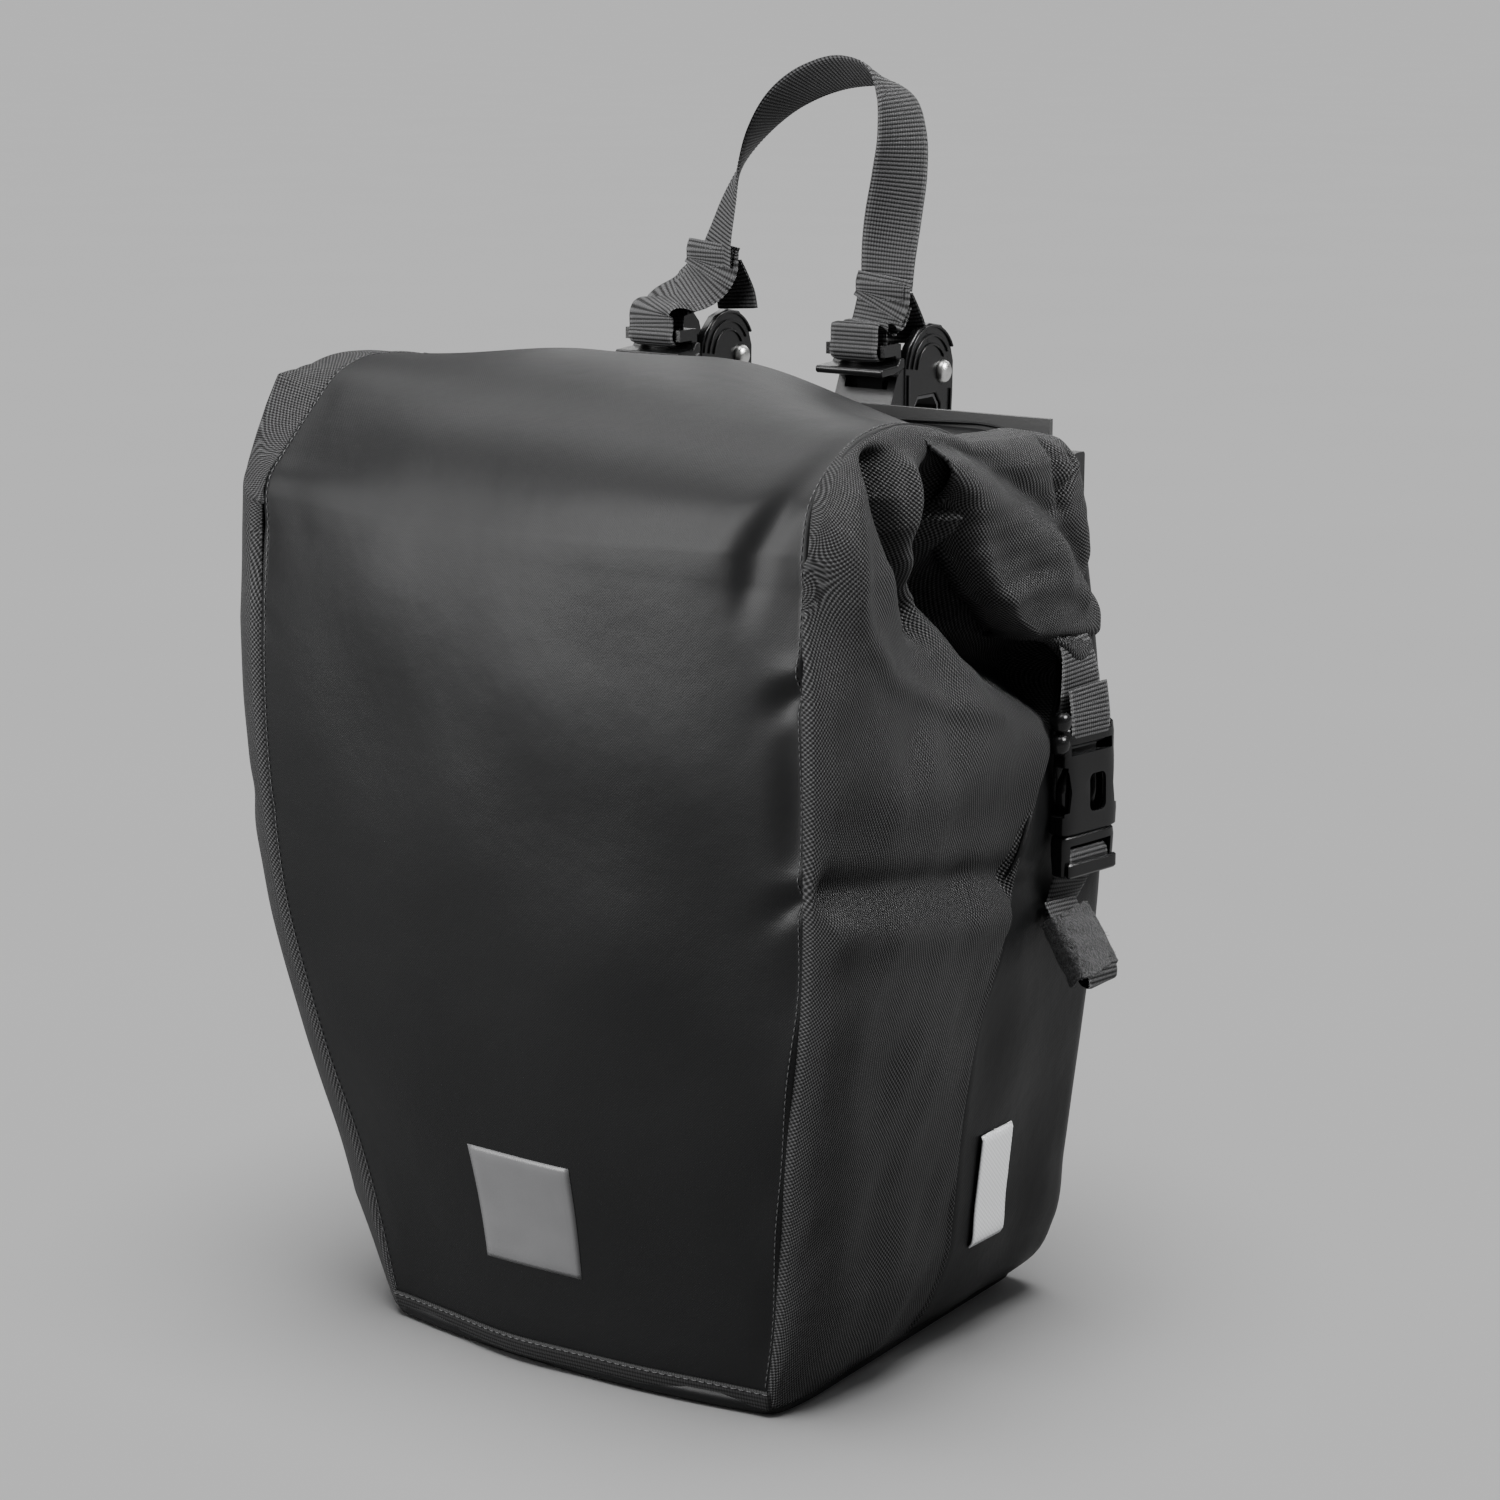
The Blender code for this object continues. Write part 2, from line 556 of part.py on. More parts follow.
# ---------------------------------------------------------------- rails and screws
def build_upper_rail(plastic, steel, strip_face):
    half, floor = RAIL_HALF_HEIGHT, 0.0030
    lip, lip_back = 0.0045, 0.0065
    outline = [(0.0004, -half), (0.0004, half), (RAIL_OUT, half), (RAIL_OUT, half - 0.003 - lip),
               (lip_back, half - 0.003 - lip), (lip_back, half - 0.003), (floor, half - 0.003),
               (floor, -half + 0.003), (lip_back, -half + 0.003), (lip_back, -half + 0.003 + lip),
               (RAIL_OUT, -half + 0.003 + lip), (RAIL_OUT, -half)]
    outline = [(out(y), RAIL_Z + z) for y, z in outline]
    rail = prism("upper_rail", outline, "X", -RAIL_HALF, RAIL_HALF, plastic)
    for i, x in enumerate(SHELL_SCREWS):
        build_screw("upper_rail_screw_%d" % (i + 1), rail, x, RAIL_Z, floor, strip_face, steel)
    for side, name in ((-1, "front_rail_cap"), (1, "rear_rail_cap")):
        ends = sorted((side * (RAIL_HALF + GAP), side * (RAIL_HALF + 0.006)))
        prism(name, rounded((out(0.0004), RAIL_Z - half - 0.001), (out(RAIL_OUT + 0.001),
              RAIL_Z + half + 0.001), 0.0015), "X", ends[0], ends[1], plastic)


def build_screw(name, rail, x, height, floor, strip_face, steel):
    """Countersunk-flush screw through rail, wall and board into the nut strip."""
    head_low, head_high = out(floor - 0.0016), out(floor - 0.0002)
    head = rod(name, "Y", (x, height), 0.0044, head_low, head_high, steel, sides=20)
    shank = rod(name + "_shank", "Y", (x, height), 0.0020, strip_face - 0.0040, head_low + 0.0005,
                steel, sides=16)
    socket = rod(name + "_socket", "Y", (x, height), 0.0014, head_high - 0.0008, head_high + 0.001,
                 steel, sides=6)
    fuse(head, shank)
    cut(head, socket)
    cut(rail, rod(name + "_bore", "Y", (x, height), 0.0047, out(floor - 0.0019), out(0.02), steel),
        rod(name + "_way", "Y", (x, height), 0.0023, out(-0.01), out(0.01), steel))


def build_lower_rail(plastic, steel, strip_face):
    half = LOWER_HALF_HEIGHT
    outline = [(0.0004, -half), (0.0004, half), (0.0080, half), (0.0080, half - 0.0065),
               (0.0060, half - 0.0065), (0.0060, half - 0.0025), (0.0028, half - 0.0025),
               (0.0028, -half + 0.0025), (0.0060, -half + 0.0025), (0.0060, -half + 0.0065),
               (0.0080, -half + 0.0065), (0.0080, -half)]
    outline = [(out(y), LOWER_Z + z) for y, z in outline]
    rail = prism("lower_rail", outline, "X", -LOWER_HALF, LOWER_HALF, plastic)
    for i, x in enumerate(LOWER_SCREWS):
        build_screw("lower_rail_screw_%d" % (i + 1), rail, x, LOWER_Z, 0.0028, strip_face, steel)


# ---------------------------------------------------------------- rail hooks
def build_hook(name, x, plastic, insert_plastic, steel):
    """Hook over the rack's rail: T foot in the rail, throat, and a slot for its latch."""
    foot = [(0.0034, -0.0134), (0.0034, 0.0134), (0.0061, 0.0134), (0.0061, 0.0091)]
    body = [(0.0092, 0.3561), (0.0092, 0.3760), (0.0150, 0.3890), (0.0260, 0.3955),
            (0.0400, 0.3975), (0.0520, 0.3955), (0.0590, 0.3890), (0.0610, 0.3780),
            (0.0590, 0.3450), (0.0555, 0.3330), (0.0520, 0.3330), (0.0505, 0.3450),
            (0.0505, 0.3740), (0.0465, 0.3790), (0.0320, 0.3790), (0.0280, 0.3740),
            (0.0280, 0.3560), (0.0180, 0.3440), (0.0140, 0.3250), (0.0092, 0.3250),
            (0.0092, 0.3379)]
    outline = [(out(y), RAIL_Z + z) for y, z in foot]
    outline += [(out(y), z) for y, z in body]
    outline += [(out(0.0061), RAIL_Z - 0.0091), (out(0.0061), RAIL_Z - 0.0134)]
    low, high = x - HOOK_WIDTH / 2, x + HOOK_WIDTH / 2
    hook = prism(name + "_hook", outline, "X", low, high, plastic)
    slot = [(0.0125, 0.3460), (0.0300, 0.3460), (0.0300, 0.3815), (0.0700, 0.3815),
            (0.0700, 0.4100), (0.0125, 0.4100)]
    well = prism(name + "_latch_well", [(out(y), z) for y, z in slot], "X",
                 x - SLOT_WIDTH / 2, x + SLOT_WIDTH / 2, plastic)
    bore = rod(name + "_pin_bore", "X", (out(PIN_OUT), PIN_Z), PIN_RADIUS + 0.0001, low - 0.01,
               high + 0.01, plastic)
    cut(hook, well, bore)
    build_insert(name, low, high, insert_plastic)
    build_latch(name, x, plastic)
    build_pin(name, low, high, steel)
    build_spring(name, x, steel)


def build_insert(name, low, high, insert_plastic):
    """Liner of the throat that takes up the play on a thin rail."""
    thick = 0.0014
    outer = [(0.0503, 0.3480), (0.0503, 0.3738), (0.0464, 0.3787), (0.0322, 0.3787), (0.0283, 0.3738),
             (0.0283, 0.3700)]
    inner = [(0.0283 + thick, 0.3700), (0.0283 + thick, 0.3732), (0.0329, 0.3787 - thick),
             (0.0457, 0.3787 - thick), (0.0503 - thick, 0.3732), (0.0503 - thick, 0.3480)]
    outline = [(out(y), z) for y, z in outer + inner]
    prism(name + "_hook_insert", outline, "X", low + 0.0005, high - 0.0005, insert_plastic)


def build_latch(name, x, plastic):
    """Lever on the hook's pin: a bar for the handle in front and a pawl that closes the throat."""
    beam = arc((PIN_OUT, PIN_Z), 0.0045, -90.0, 80.0, 8)
    beam += [(0.0440, 0.3950), (0.0280, 0.4000), (0.0165, 0.4030), (0.0140, 0.4030),
             (0.0140, 0.3965), (0.0158, 0.3880), (0.0190, 0.3600), (0.0212, 0.3530),
             (0.0250, 0.3500), (0.0370, 0.3495), (0.0375, 0.3520), (0.0290, 0.3560),
             (0.0265, 0.3600), (0.0260, 0.3800), (0.0295, 0.3850), (0.0440, 0.3835)]
    outline = [(out(y), z) for y, z in beam]
    latch = prism(name + "_latch", outline, "X", x - LATCH_WIDTH / 2, x + LATCH_WIDTH / 2, plastic)
    yoke = box(name + "_latch_yoke", (x - 0.0152, out(0.0136), 0.3972),
               (x + 0.0152, out(0.0176), 0.4034), plastic)
    bar = rod(name + "_latch_bar", "X", (out(BAR_OUT), BAR_Z), BAR_RADIUS, x - 0.0140, x + 0.0140,
              plastic, sides=16)
    arms = [box("%s_latch_arm_%d" % (name, turn), (min(x + turn * 0.0129, x + turn * 0.0152),
            out(BAR_OUT - 0.0026), 0.3984), (max(x + turn * 0.0129, x + turn * 0.0152), out(0.0150), 0.4036),
            plastic) for turn in (-1, 1)]
    fuse(latch, yoke, *arms, bar)
    cut(latch, rod(name + "_latch_bore", "X", (out(PIN_OUT), PIN_Z), PIN_RADIUS + 0.0002, x - 0.02,
                   x + 0.02, plastic))


def build_pin(name, low, high, steel):
    centre = (out(PIN_OUT), PIN_Z)
    pin = rod(name + "_latch_pin", "X", centre, PIN_RADIUS, low - 0.0010, high + 0.0012, steel)
    head = rod(name + "_pin_head", "X", centre, 0.0046, high + GAP, high + 0.0024, steel)
    tail = rod(name + "_pin_tail", "X", centre, 0.0036, low - 0.0016, low - GAP, steel)
    fuse(pin, head, tail)


def build_spring(name, x, steel):
    """Torsion spring beside the lever, wound round the pin."""
    turns, steps, radius = 2.5, 14, 0.0034
    start = x + LATCH_WIDTH / 2 + 0.0009
    count = int(turns * steps)
    points = []
    for i in range(count + 1):
        angle = 2.0 * math.pi * i / steps
        points.append(Vector((start + 0.0030 * i / count, out(PIN_OUT) + radius * math.cos(angle),
                              PIN_Z + radius * math.sin(angle))))
    curve = bpy.data.curves.new(name + "_latch_spring", "CURVE")
    curve.dimensions = "3D"
    spline = curve.splines.new("POLY")
    spline.points.add(len(points) - 1)
    for point, place in zip(spline.points, points):
        point.co = (*place, 1.0)
    curve.bevel_depth = 0.0005
    curve.bevel_resolution = 1
    curve.use_fill_caps = True
    item = bpy.data.objects.new(name + "_latch_spring", curve)
    item.data.materials.append(steel)
    bpy.context.scene.collection.objects.link(item)


# ---------------------------------------------------------------- carrying handle
def build_handle(webbing):
    """Webbing arch between the two latches, with a sewn loop round each latch bar."""
    ring = BAR_RADIUS + 0.0009 + WEBBING_THICK / 2
    for name, x in HOOK_X.items():
        path = [(out(JOIN_OUT - 0.0010), JOIN_Z), (out(0.0165), JOIN_Z - 0.0130)]
        path += [(out(BAR_OUT) + y, BAR_Z + z) for y, z in arc((0.0, 0.0), ring, 125.0, 380.0, 12)]
        path += [(out(0.0175), JOIN_Z - 0.0150), (out(JOIN_OUT + 0.0010), JOIN_Z - 0.0025)]
        ribbon(name + "_handle_loop", path, WEBBING_THICK, "X", x - WEBBING / 2, x + WEBBING / 2,
               webbing)
    path = [(-0.0965, JOIN_Z + 0.0016), (-0.0840, 0.4520), (-0.0680, 0.4760), (-0.0540, 0.4990),
            (-0.0360, 0.5150), (-0.0130, HANDLE_TOP), (0.0040, 0.5200), (0.0170, 0.5060),
            (0.0210, 0.4870), (0.0160, 0.4650), (0.0100, 0.4450), (0.0100, JOIN_Z + 0.0016)]
    ribbon_xz("handle_strap", path, WEBBING_THICK, out(JOIN_OUT) - WEBBING / 2,
              out(JOIN_OUT) + WEBBING / 2, webbing)


# ---------------------------------------------------------------- lower hook
def build_lower_hook(plastic, steel):
    """Carrier that slides in the lower rail, with a hook that swivels on its knob's screw."""
    x, z = LOWER_HOOK_X, LOWER_Z
    carrier = box("lower_carrier", (x - 0.017, out(0.0032), z - 0.0110),
                  (x + 0.017, out(0.0056), z + 0.0110), plastic)
    neck = box("carrier_neck", (x - 0.015, out(0.0050), z - 0.0070), (x + 0.015, out(0.0105), z + 0.0070),
               plastic)
    stud = rod("carrier_stud", "Y", (x, z), 0.0040, out(0.0100), out(0.0200), plastic)
    fuse(carrier, neck, stud)
    arm = [(x - 0.014, z)] + [(x + 0.014 * math.cos(math.radians(a)), z + 0.014 * math.sin(math.radians(a)))
                              for a in range(165, -1, -15)]
    arm += [(x + 0.0120, z - 0.0300), (x + 0.0120, z - 0.0480), (x + 0.0040, z - 0.0560),
            (x - 0.0120, z - 0.0560), (x - 0.0120, z - 0.0460), (x + 0.0010, z - 0.0450),
            (x + 0.0010, z - 0.0300), (x - 0.0120, z - 0.0150)]
    hook = prism("lower_hook", arm, "Y", out(0.0110), out(0.0170), plastic)
    lip = box("lower_hook_lip", (x - 0.0120, out(0.0150), z - 0.0560), (x - 0.0080, out(0.0330), z - 0.0460),
              plastic)
    blade = box("lower_hook_blade", (x - 0.0120, out(0.0290), z - 0.0560),
                (x + 0.0110, out(0.0330), z - 0.0460), plastic)
    fuse(hook, lip, blade)
    cut(hook, rod("lower_hook_bore", "Y", (x, z), 0.0043, out(0.0), out(0.03), plastic))
    cap = rod("lower_hook_screw", "Y", (x, z), 0.0075, out(0.0204), out(0.0230), steel)
    cross = box("lower_screw_slot", (x - 0.0050, out(0.0222), z - 0.0006),
                (x + 0.0050, out(0.0240), z + 0.0006), steel)
    cut(cap, cross)


def main():
    clear_scene()
    fabric = finish_material("coated_fabric", (0.035, 0.036, 0.038), 0.55)
    woven = finish_material("woven_nylon", (0.022, 0.022, 0.023), 0.80)
    webbing = finish_material("webbing", (0.025, 0.025, 0.026), 0.75)
    plastic = finish_material("moulded_plastic", (0.012, 0.012, 0.013), 0.38)
    insert_plastic = finish_material("insert_plastic", (0.030, 0.030, 0.032), 0.50)
    reflective = finish_material("reflective_film", (0.75, 0.76, 0.77), 0.30)
    badge_grey = finish_material("badge_film", (0.20, 0.20, 0.21), 0.45)
    steel = finish_material("zinc_steel", (0.62, 0.62, 0.60), 0.30, 1.0)
    build_tub(fabric, woven)
    strip_face = build_stiffeners(plastic, steel)
    build_trim(reflective, badge_grey, webbing)
    build_collar(fabric, woven, plastic)
    build_side(1, "rear", webbing, plastic)
    build_side(-1, "front", webbing, plastic)
    build_upper_rail(plastic, steel, strip_face)
    build_lower_rail(plastic, steel, strip_face)
    for name, x in HOOK_X.items():
        build_hook(name, x, plastic, insert_plastic, steel)
    build_handle(webbing)
    build_lower_hook(plastic, steel)


main()
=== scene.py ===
"""Roll-top pannier bag: its looks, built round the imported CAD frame.

Frame: metres, +Z up. +X is the end that faces the bicycle's rear, -Y the outward face.
"""
import json
import math

import bmesh
import bpy
import numpy as np
from mathutils import Matrix, Vector

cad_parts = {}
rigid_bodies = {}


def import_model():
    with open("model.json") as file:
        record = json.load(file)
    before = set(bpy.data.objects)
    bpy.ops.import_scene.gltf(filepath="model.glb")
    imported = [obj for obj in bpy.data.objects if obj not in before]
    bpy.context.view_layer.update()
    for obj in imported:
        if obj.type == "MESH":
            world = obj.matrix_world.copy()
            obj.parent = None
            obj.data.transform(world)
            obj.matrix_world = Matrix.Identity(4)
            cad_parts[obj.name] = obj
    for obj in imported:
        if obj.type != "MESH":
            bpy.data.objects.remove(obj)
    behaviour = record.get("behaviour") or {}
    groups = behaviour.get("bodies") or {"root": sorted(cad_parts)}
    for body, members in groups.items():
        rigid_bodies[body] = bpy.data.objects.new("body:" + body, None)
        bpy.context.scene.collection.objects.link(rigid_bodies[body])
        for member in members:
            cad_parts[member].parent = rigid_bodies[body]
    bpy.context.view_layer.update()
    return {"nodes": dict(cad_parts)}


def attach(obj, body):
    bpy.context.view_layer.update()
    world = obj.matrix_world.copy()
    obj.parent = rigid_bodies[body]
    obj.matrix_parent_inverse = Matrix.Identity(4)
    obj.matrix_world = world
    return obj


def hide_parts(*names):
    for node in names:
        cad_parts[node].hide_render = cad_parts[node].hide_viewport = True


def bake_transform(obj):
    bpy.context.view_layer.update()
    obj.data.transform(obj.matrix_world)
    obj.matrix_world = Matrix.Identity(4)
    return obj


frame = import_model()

# ---------------------------------------------------------------- dimensions, as in the CAD part
BACK_Y = 0.0865
TUB_TOP = 0.3450
FACE_BULGE, END_SWELL, BACK_CORNER = 0.010, 0.020, 0.016
# height, depth from the back wall to the outward seam, half width at that seam and at the back
STATIONS = np.array([
    (0.000, 0.190, 0.096, 0.100), (0.010, 0.192, 0.098, 0.115), (0.030, 0.194, 0.102, 0.127),
    (0.060, 0.198, 0.107, 0.131), (0.120, 0.210, 0.119, 0.138), (0.180, 0.218, 0.1305, 0.1445),
    (0.240, 0.223, 0.1345, 0.145), (0.300, 0.224, 0.1345, 0.139), (0.345, 0.220, 0.134, 0.132),
    (0.400, 0.205, 0.131, 0.124)])
WRAP = np.array([(0.000, 0.102), (0.050, 0.102), (0.118, 0.108), (0.148, 0.106), (0.175, 0.097),
                 (0.205, 0.090), (0.240, 0.070), (0.280, 0.050), (0.345, 0.040), (0.400, 0.034)])
BASE_SEAM = 0.0035         # height of the seam round the base
STRAP_Y = BACK_Y - 0.046
WEBBING_WIDTH = 0.025
HOOK_X = {"front": -0.099, "rear": 0.010}
BUCKLE_X, BUCKLE_MOUTH, BUCKLE_FOOT = 0.154, 0.217, 0.199
BUCKLE_TURN = math.radians(10.0)
# thicknesses: coated face and back, other sheets, ears, roll, and films and tape
COATED_THICK, SHEET_THICK, EAR_THICK, ROLL_THICK, FILM_THICK = 0.0013, 0.0012, 0.0014, 0.0011, 0.0006

# depth and height of the crest's edge, from the outward seam to the roll
CREST_MIDDLE = [(0.2205, 0.3465), (0.2130, 0.3655), (0.1980, 0.3850), (0.1740, 0.3998),
                (0.1420, 0.4075), (0.1080, 0.4080), (0.0720, 0.4010), (0.0470, 0.3885),
                (0.0350, 0.3745)]
CREST_REAR = [(0.2215, 0.3500), (0.2140, 0.3730), (0.2040, 0.3825), (0.1850, 0.3915),
              (0.1600, 0.3955), (0.1300, 0.3915), (0.0950, 0.3800), (0.0460, 0.3715),
              (0.0350, 0.3680)]
CREST_FRONT = [(0.2215, 0.3500), (0.2185, 0.3605), (0.2091, 0.3705), (0.1981, 0.3817), (0.1884, 0.3910),
               (0.1790, 0.3988), (0.1650, 0.4040), (0.1400, 0.4045), (0.1050, 0.3980), (0.0470, 0.3795),
               (0.0350, 0.3700)]


# ---------------------------------------------------------------- small maths
def smooth(value):
    value = np.clip(value, 0.0, 1.0)
    return value * value * (3.0 - 2.0 * value)


def bump(distance, width):
    return np.exp(-(distance / width) ** 2)


def curve_at(knots, values, at):
    """Smooth curve through values given at rising knots."""
    knots, values = np.asarray(knots, float), np.asarray(values, float)
    at = np.clip(at, knots[0], knots[-1])
    slope = np.gradient(values, knots, axis=0)
    i = np.clip(np.searchsorted(knots, at, side="right") - 1, 0, len(knots) - 2)
    h = knots[i + 1] - knots[i]
    t = (at - knots[i]) / h
    if values.ndim > 1:
        h, t = h[..., None], t[..., None]
    return ((2 * t ** 3 - 3 * t ** 2 + 1) * values[i] + (t ** 3 - 2 * t ** 2 + t) * h * slope[i]
            + (3 * t ** 2 - 2 * t ** 3) * values[i + 1] + (t ** 3 - t ** 2) * h * slope[i + 1])


def run_length(points):
    """Length travelled from the first of some points to each of them."""
    return np.concatenate([[0.0], np.cumsum(np.linalg.norm(np.diff(points, axis=0), axis=1))])


def along_path(points, count):
    """Points at even spacing on a smooth curve through the given ones."""
    points = np.asarray(points, float)
    knots = run_length(points)
    fine = curve_at(knots, points, np.linspace(0.0, knots[-1], 40 * len(points)))
    lengths = run_length(fine)
    even = np.linspace(0.0, lengths[-1], count)
    return np.stack([np.interp(even, lengths, fine[:, k]) for k in range(points.shape[1])], axis=1)


def path_distance(first, second, path):
    """Distance of every (first, second) pair from a polyline, and how far along it they are."""
    best = np.full(np.shape(first), 1e9)
    where = np.zeros(np.shape(first))
    count = len(path) - 1
    for k in range(count):
        (ax, ay), (bx, by) = path[k], path[k + 1]
        span = (bx - ax) ** 2 + (by - ay) ** 2
        t = np.clip(((first - ax) * (bx - ax) + (second - ay) * (by - ay)) / span, 0.0, 1.0)
        d = np.hypot(first - ax - t * (bx - ax), second - ay - t * (by - ay))
        closer = d < best
        best = np.where(closer, d, best)
        where = np.where(closer, (k + t) / count, where)
    return best, where


def ripple(first, second, size, seed):
    """Soft, repeatable unevenness of about +-1 whose waves are roughly size long."""
    random = np.random.default_rng(seed)
    total = np.zeros(np.broadcast(first, second).shape)
    for _ in range(7):
        angle, phase = random.uniform(0.0, 2 * math.pi, 2)
        wave = 2 * math.pi / (size * random.uniform(0.7, 1.6))
        total += np.sin(wave * (first * math.cos(angle) + second * math.sin(angle)) + phase)
    return total / 3.0


# ---------------------------------------------------------------- outline of the bag
def station(height, column):
    return curve_at(STATIONS[:, 0], STATIONS[:, column], height)


def wrap_depth(height):
    return curve_at(WRAP[:, 0], WRAP[:, 1], height)


def end_half_width(height, depth, swell=END_SWELL):
    """Half width of the bag at a height and at a depth ahead of the back wall."""
    front_depth, half_front, half_back = (station(height, k) for k in (1, 2, 3))
    part = np.clip(1.0 - depth / front_depth, 0.0, 1.0)
    width = half_front + (half_back - half_front) * part
    rise = np.sqrt(np.clip(1.0 - (1.0 - np.minimum(part / 0.16, 1.0)) ** 2, 0.0, 1.0))
    width += swell * np.minimum(1.0, height / 0.06 + 0.25) * rise * (1.0 - part)
    corner = np.clip(BACK_CORNER - depth, 0.0, BACK_CORNER)
    return width - (BACK_CORNER - np.sqrt(BACK_CORNER ** 2 - corner ** 2))


def settle(points):
    """Lets the bottom of the bag hang a few millimetres, most along its outward edge."""
    depth = BACK_Y - points[..., 1]
    low = smooth((0.050 - points[..., 2]) / 0.050)
    points[..., 2] -= low * (0.0015 + 0.0040 * np.clip(depth / 0.19, 0.0, 1.0))
    return points


# ---------------------------------------------------------------- mesh helpers
def add_object(name, data):
    item = bpy.data.objects.new(name, data)
    bpy.context.scene.collection.objects.link(item)
    return item


def add_mesh(name, points, faces, material, uv=None, body=None):
    mesh = bpy.data.meshes.new(name)
    mesh.from_pydata([tuple(p) for p in np.asarray(points, float).reshape(-1, 3)], [], faces)
    mesh.validate()
    if uv is not None:
        layer = mesh.uv_layers.new(name="cloth_metres")
        flat = np.asarray(uv, float).reshape(-1, 2)
        loops = np.zeros(len(mesh.loops), np.int32)
        mesh.loops.foreach_get("vertex_index", loops)
        layer.data.foreach_set("uv", flat[loops].astype(np.float32).ravel())
    mesh.polygons.foreach_set("use_smooth", [True] * len(mesh.polygons))
    mesh.materials.append(material)
    item = add_object(name, mesh)
    if body:
        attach(item, body)
    return item


def grid_faces(rows, columns, around=False):
    faces = []
    for r in range(rows - 1):
        for c in range(columns if around else columns - 1):
            d = (c + 1) % columns
            low, high = r * columns, (r + 1) * columns
            faces.append((low + c, low + d, high + d, high + c))
    return faces


def tube_faces(rows, around):
    """Faces of a closed tube with both of its ends capped."""
    faces = grid_faces(rows, around, around=True)
    faces.append(tuple(reversed(range(around))))
    faces.append(tuple(range((rows - 1) * around, rows * around)))
    return faces


def circle_angles(count):
    return np.linspace(0.0, 2 * math.pi, count, endpoint=False)


def squared(value, power):
    """Sine or cosine pushed outwards, so that a circle becomes a rounded rectangle."""
    return np.sign(value) * np.abs(value) ** power


def metres_uv(points):
    """UV in metres measured along the rows and columns of a grid, for weaves at true scale."""
    across = np.zeros(points.shape[:2])
    across[:, 1:] = np.cumsum(np.linalg.norm(np.diff(points, axis=1), axis=2), axis=1)
    up = np.zeros(points.shape[:2])
    up[1:] = np.cumsum(np.linalg.norm(np.diff(points, axis=0), axis=2), axis=0)
    across -= across[:, -1:] / 2
    up = up.mean(axis=1, keepdims=True) + 0 * across
    return np.stack([across, up], axis=2)


def relaxed_uv(points, uv, every=3, rounds=260):
    """Eases a grid's UV until its steps match the cloth's lengths, so a weave keeps its scale."""
    rows, columns = (np.unique(np.linspace(0, n - 1, n // every).round().astype(int))
                     for n in points.shape[:2])
    cloth, flat = points[np.ix_(rows, columns)], uv[np.ix_(rows, columns)].copy()
    low, high, whole = slice(None, -1), slice(1, None), slice(None)
    links = [((low, whole), (high, whole)), ((whole, low), (whole, high)),
             ((low, low), (high, high)), ((low, high), (high, low))]
    lengths = [np.linalg.norm(cloth[b] - cloth[a], axis=2) for a, b in links]
    start = flat.copy()
    for _ in range(rounds):
        move, share = np.zeros(flat.shape), np.zeros(flat.shape[:2])
        for (a, b), length in zip(links, lengths):
            step = flat[b] - flat[a]
            size = np.linalg.norm(step, axis=2)
            change = step * (0.5 * (size - length) / np.maximum(size, 1e-9))[:, :, None]
            move[a] += change
            move[b] -= change
            share[a] += 1.0
            share[b] += 1.0
        flat += 1.3 * move / share[:, :, None]
        shift = flat - start
        around = (shift[:-2, 1:-1] + shift[2:, 1:-1] + shift[1:-1, :-2] + shift[1:-1, 2:]) / 4.0
        flat[1:-1, 1:-1] += 0.35 * (around - shift[1:-1, 1:-1])
    tall = curve_at(rows, flat.reshape(len(rows), -1), np.arange(points.shape[0], dtype=float))
    tall = tall.reshape(points.shape[0], len(columns), 2).transpose(1, 0, 2)
    full = curve_at(columns, tall.reshape(len(columns), -1), np.arange(points.shape[1], dtype=float))
    return full.reshape(points.shape[1], points.shape[0], 2).transpose(1, 0, 2)


def cloth_grid(name, points, material, thickness=SHEET_THICK, flip=False, uv=None):
    """Sheet of fabric from a grid of outer points, thickened towards its inside."""
    rows, columns = points.shape[:2]
    faces = grid_faces(rows, columns)
    if flip:
        faces = [f[::-1] for f in faces]
    item = add_mesh(name, points, faces, material, metres_uv(points) if uv is None else uv)
    solid = item.modifiers.new("thickness", "SOLIDIFY")
    solid.thickness = thickness
    solid.offset = -1.0
    return item


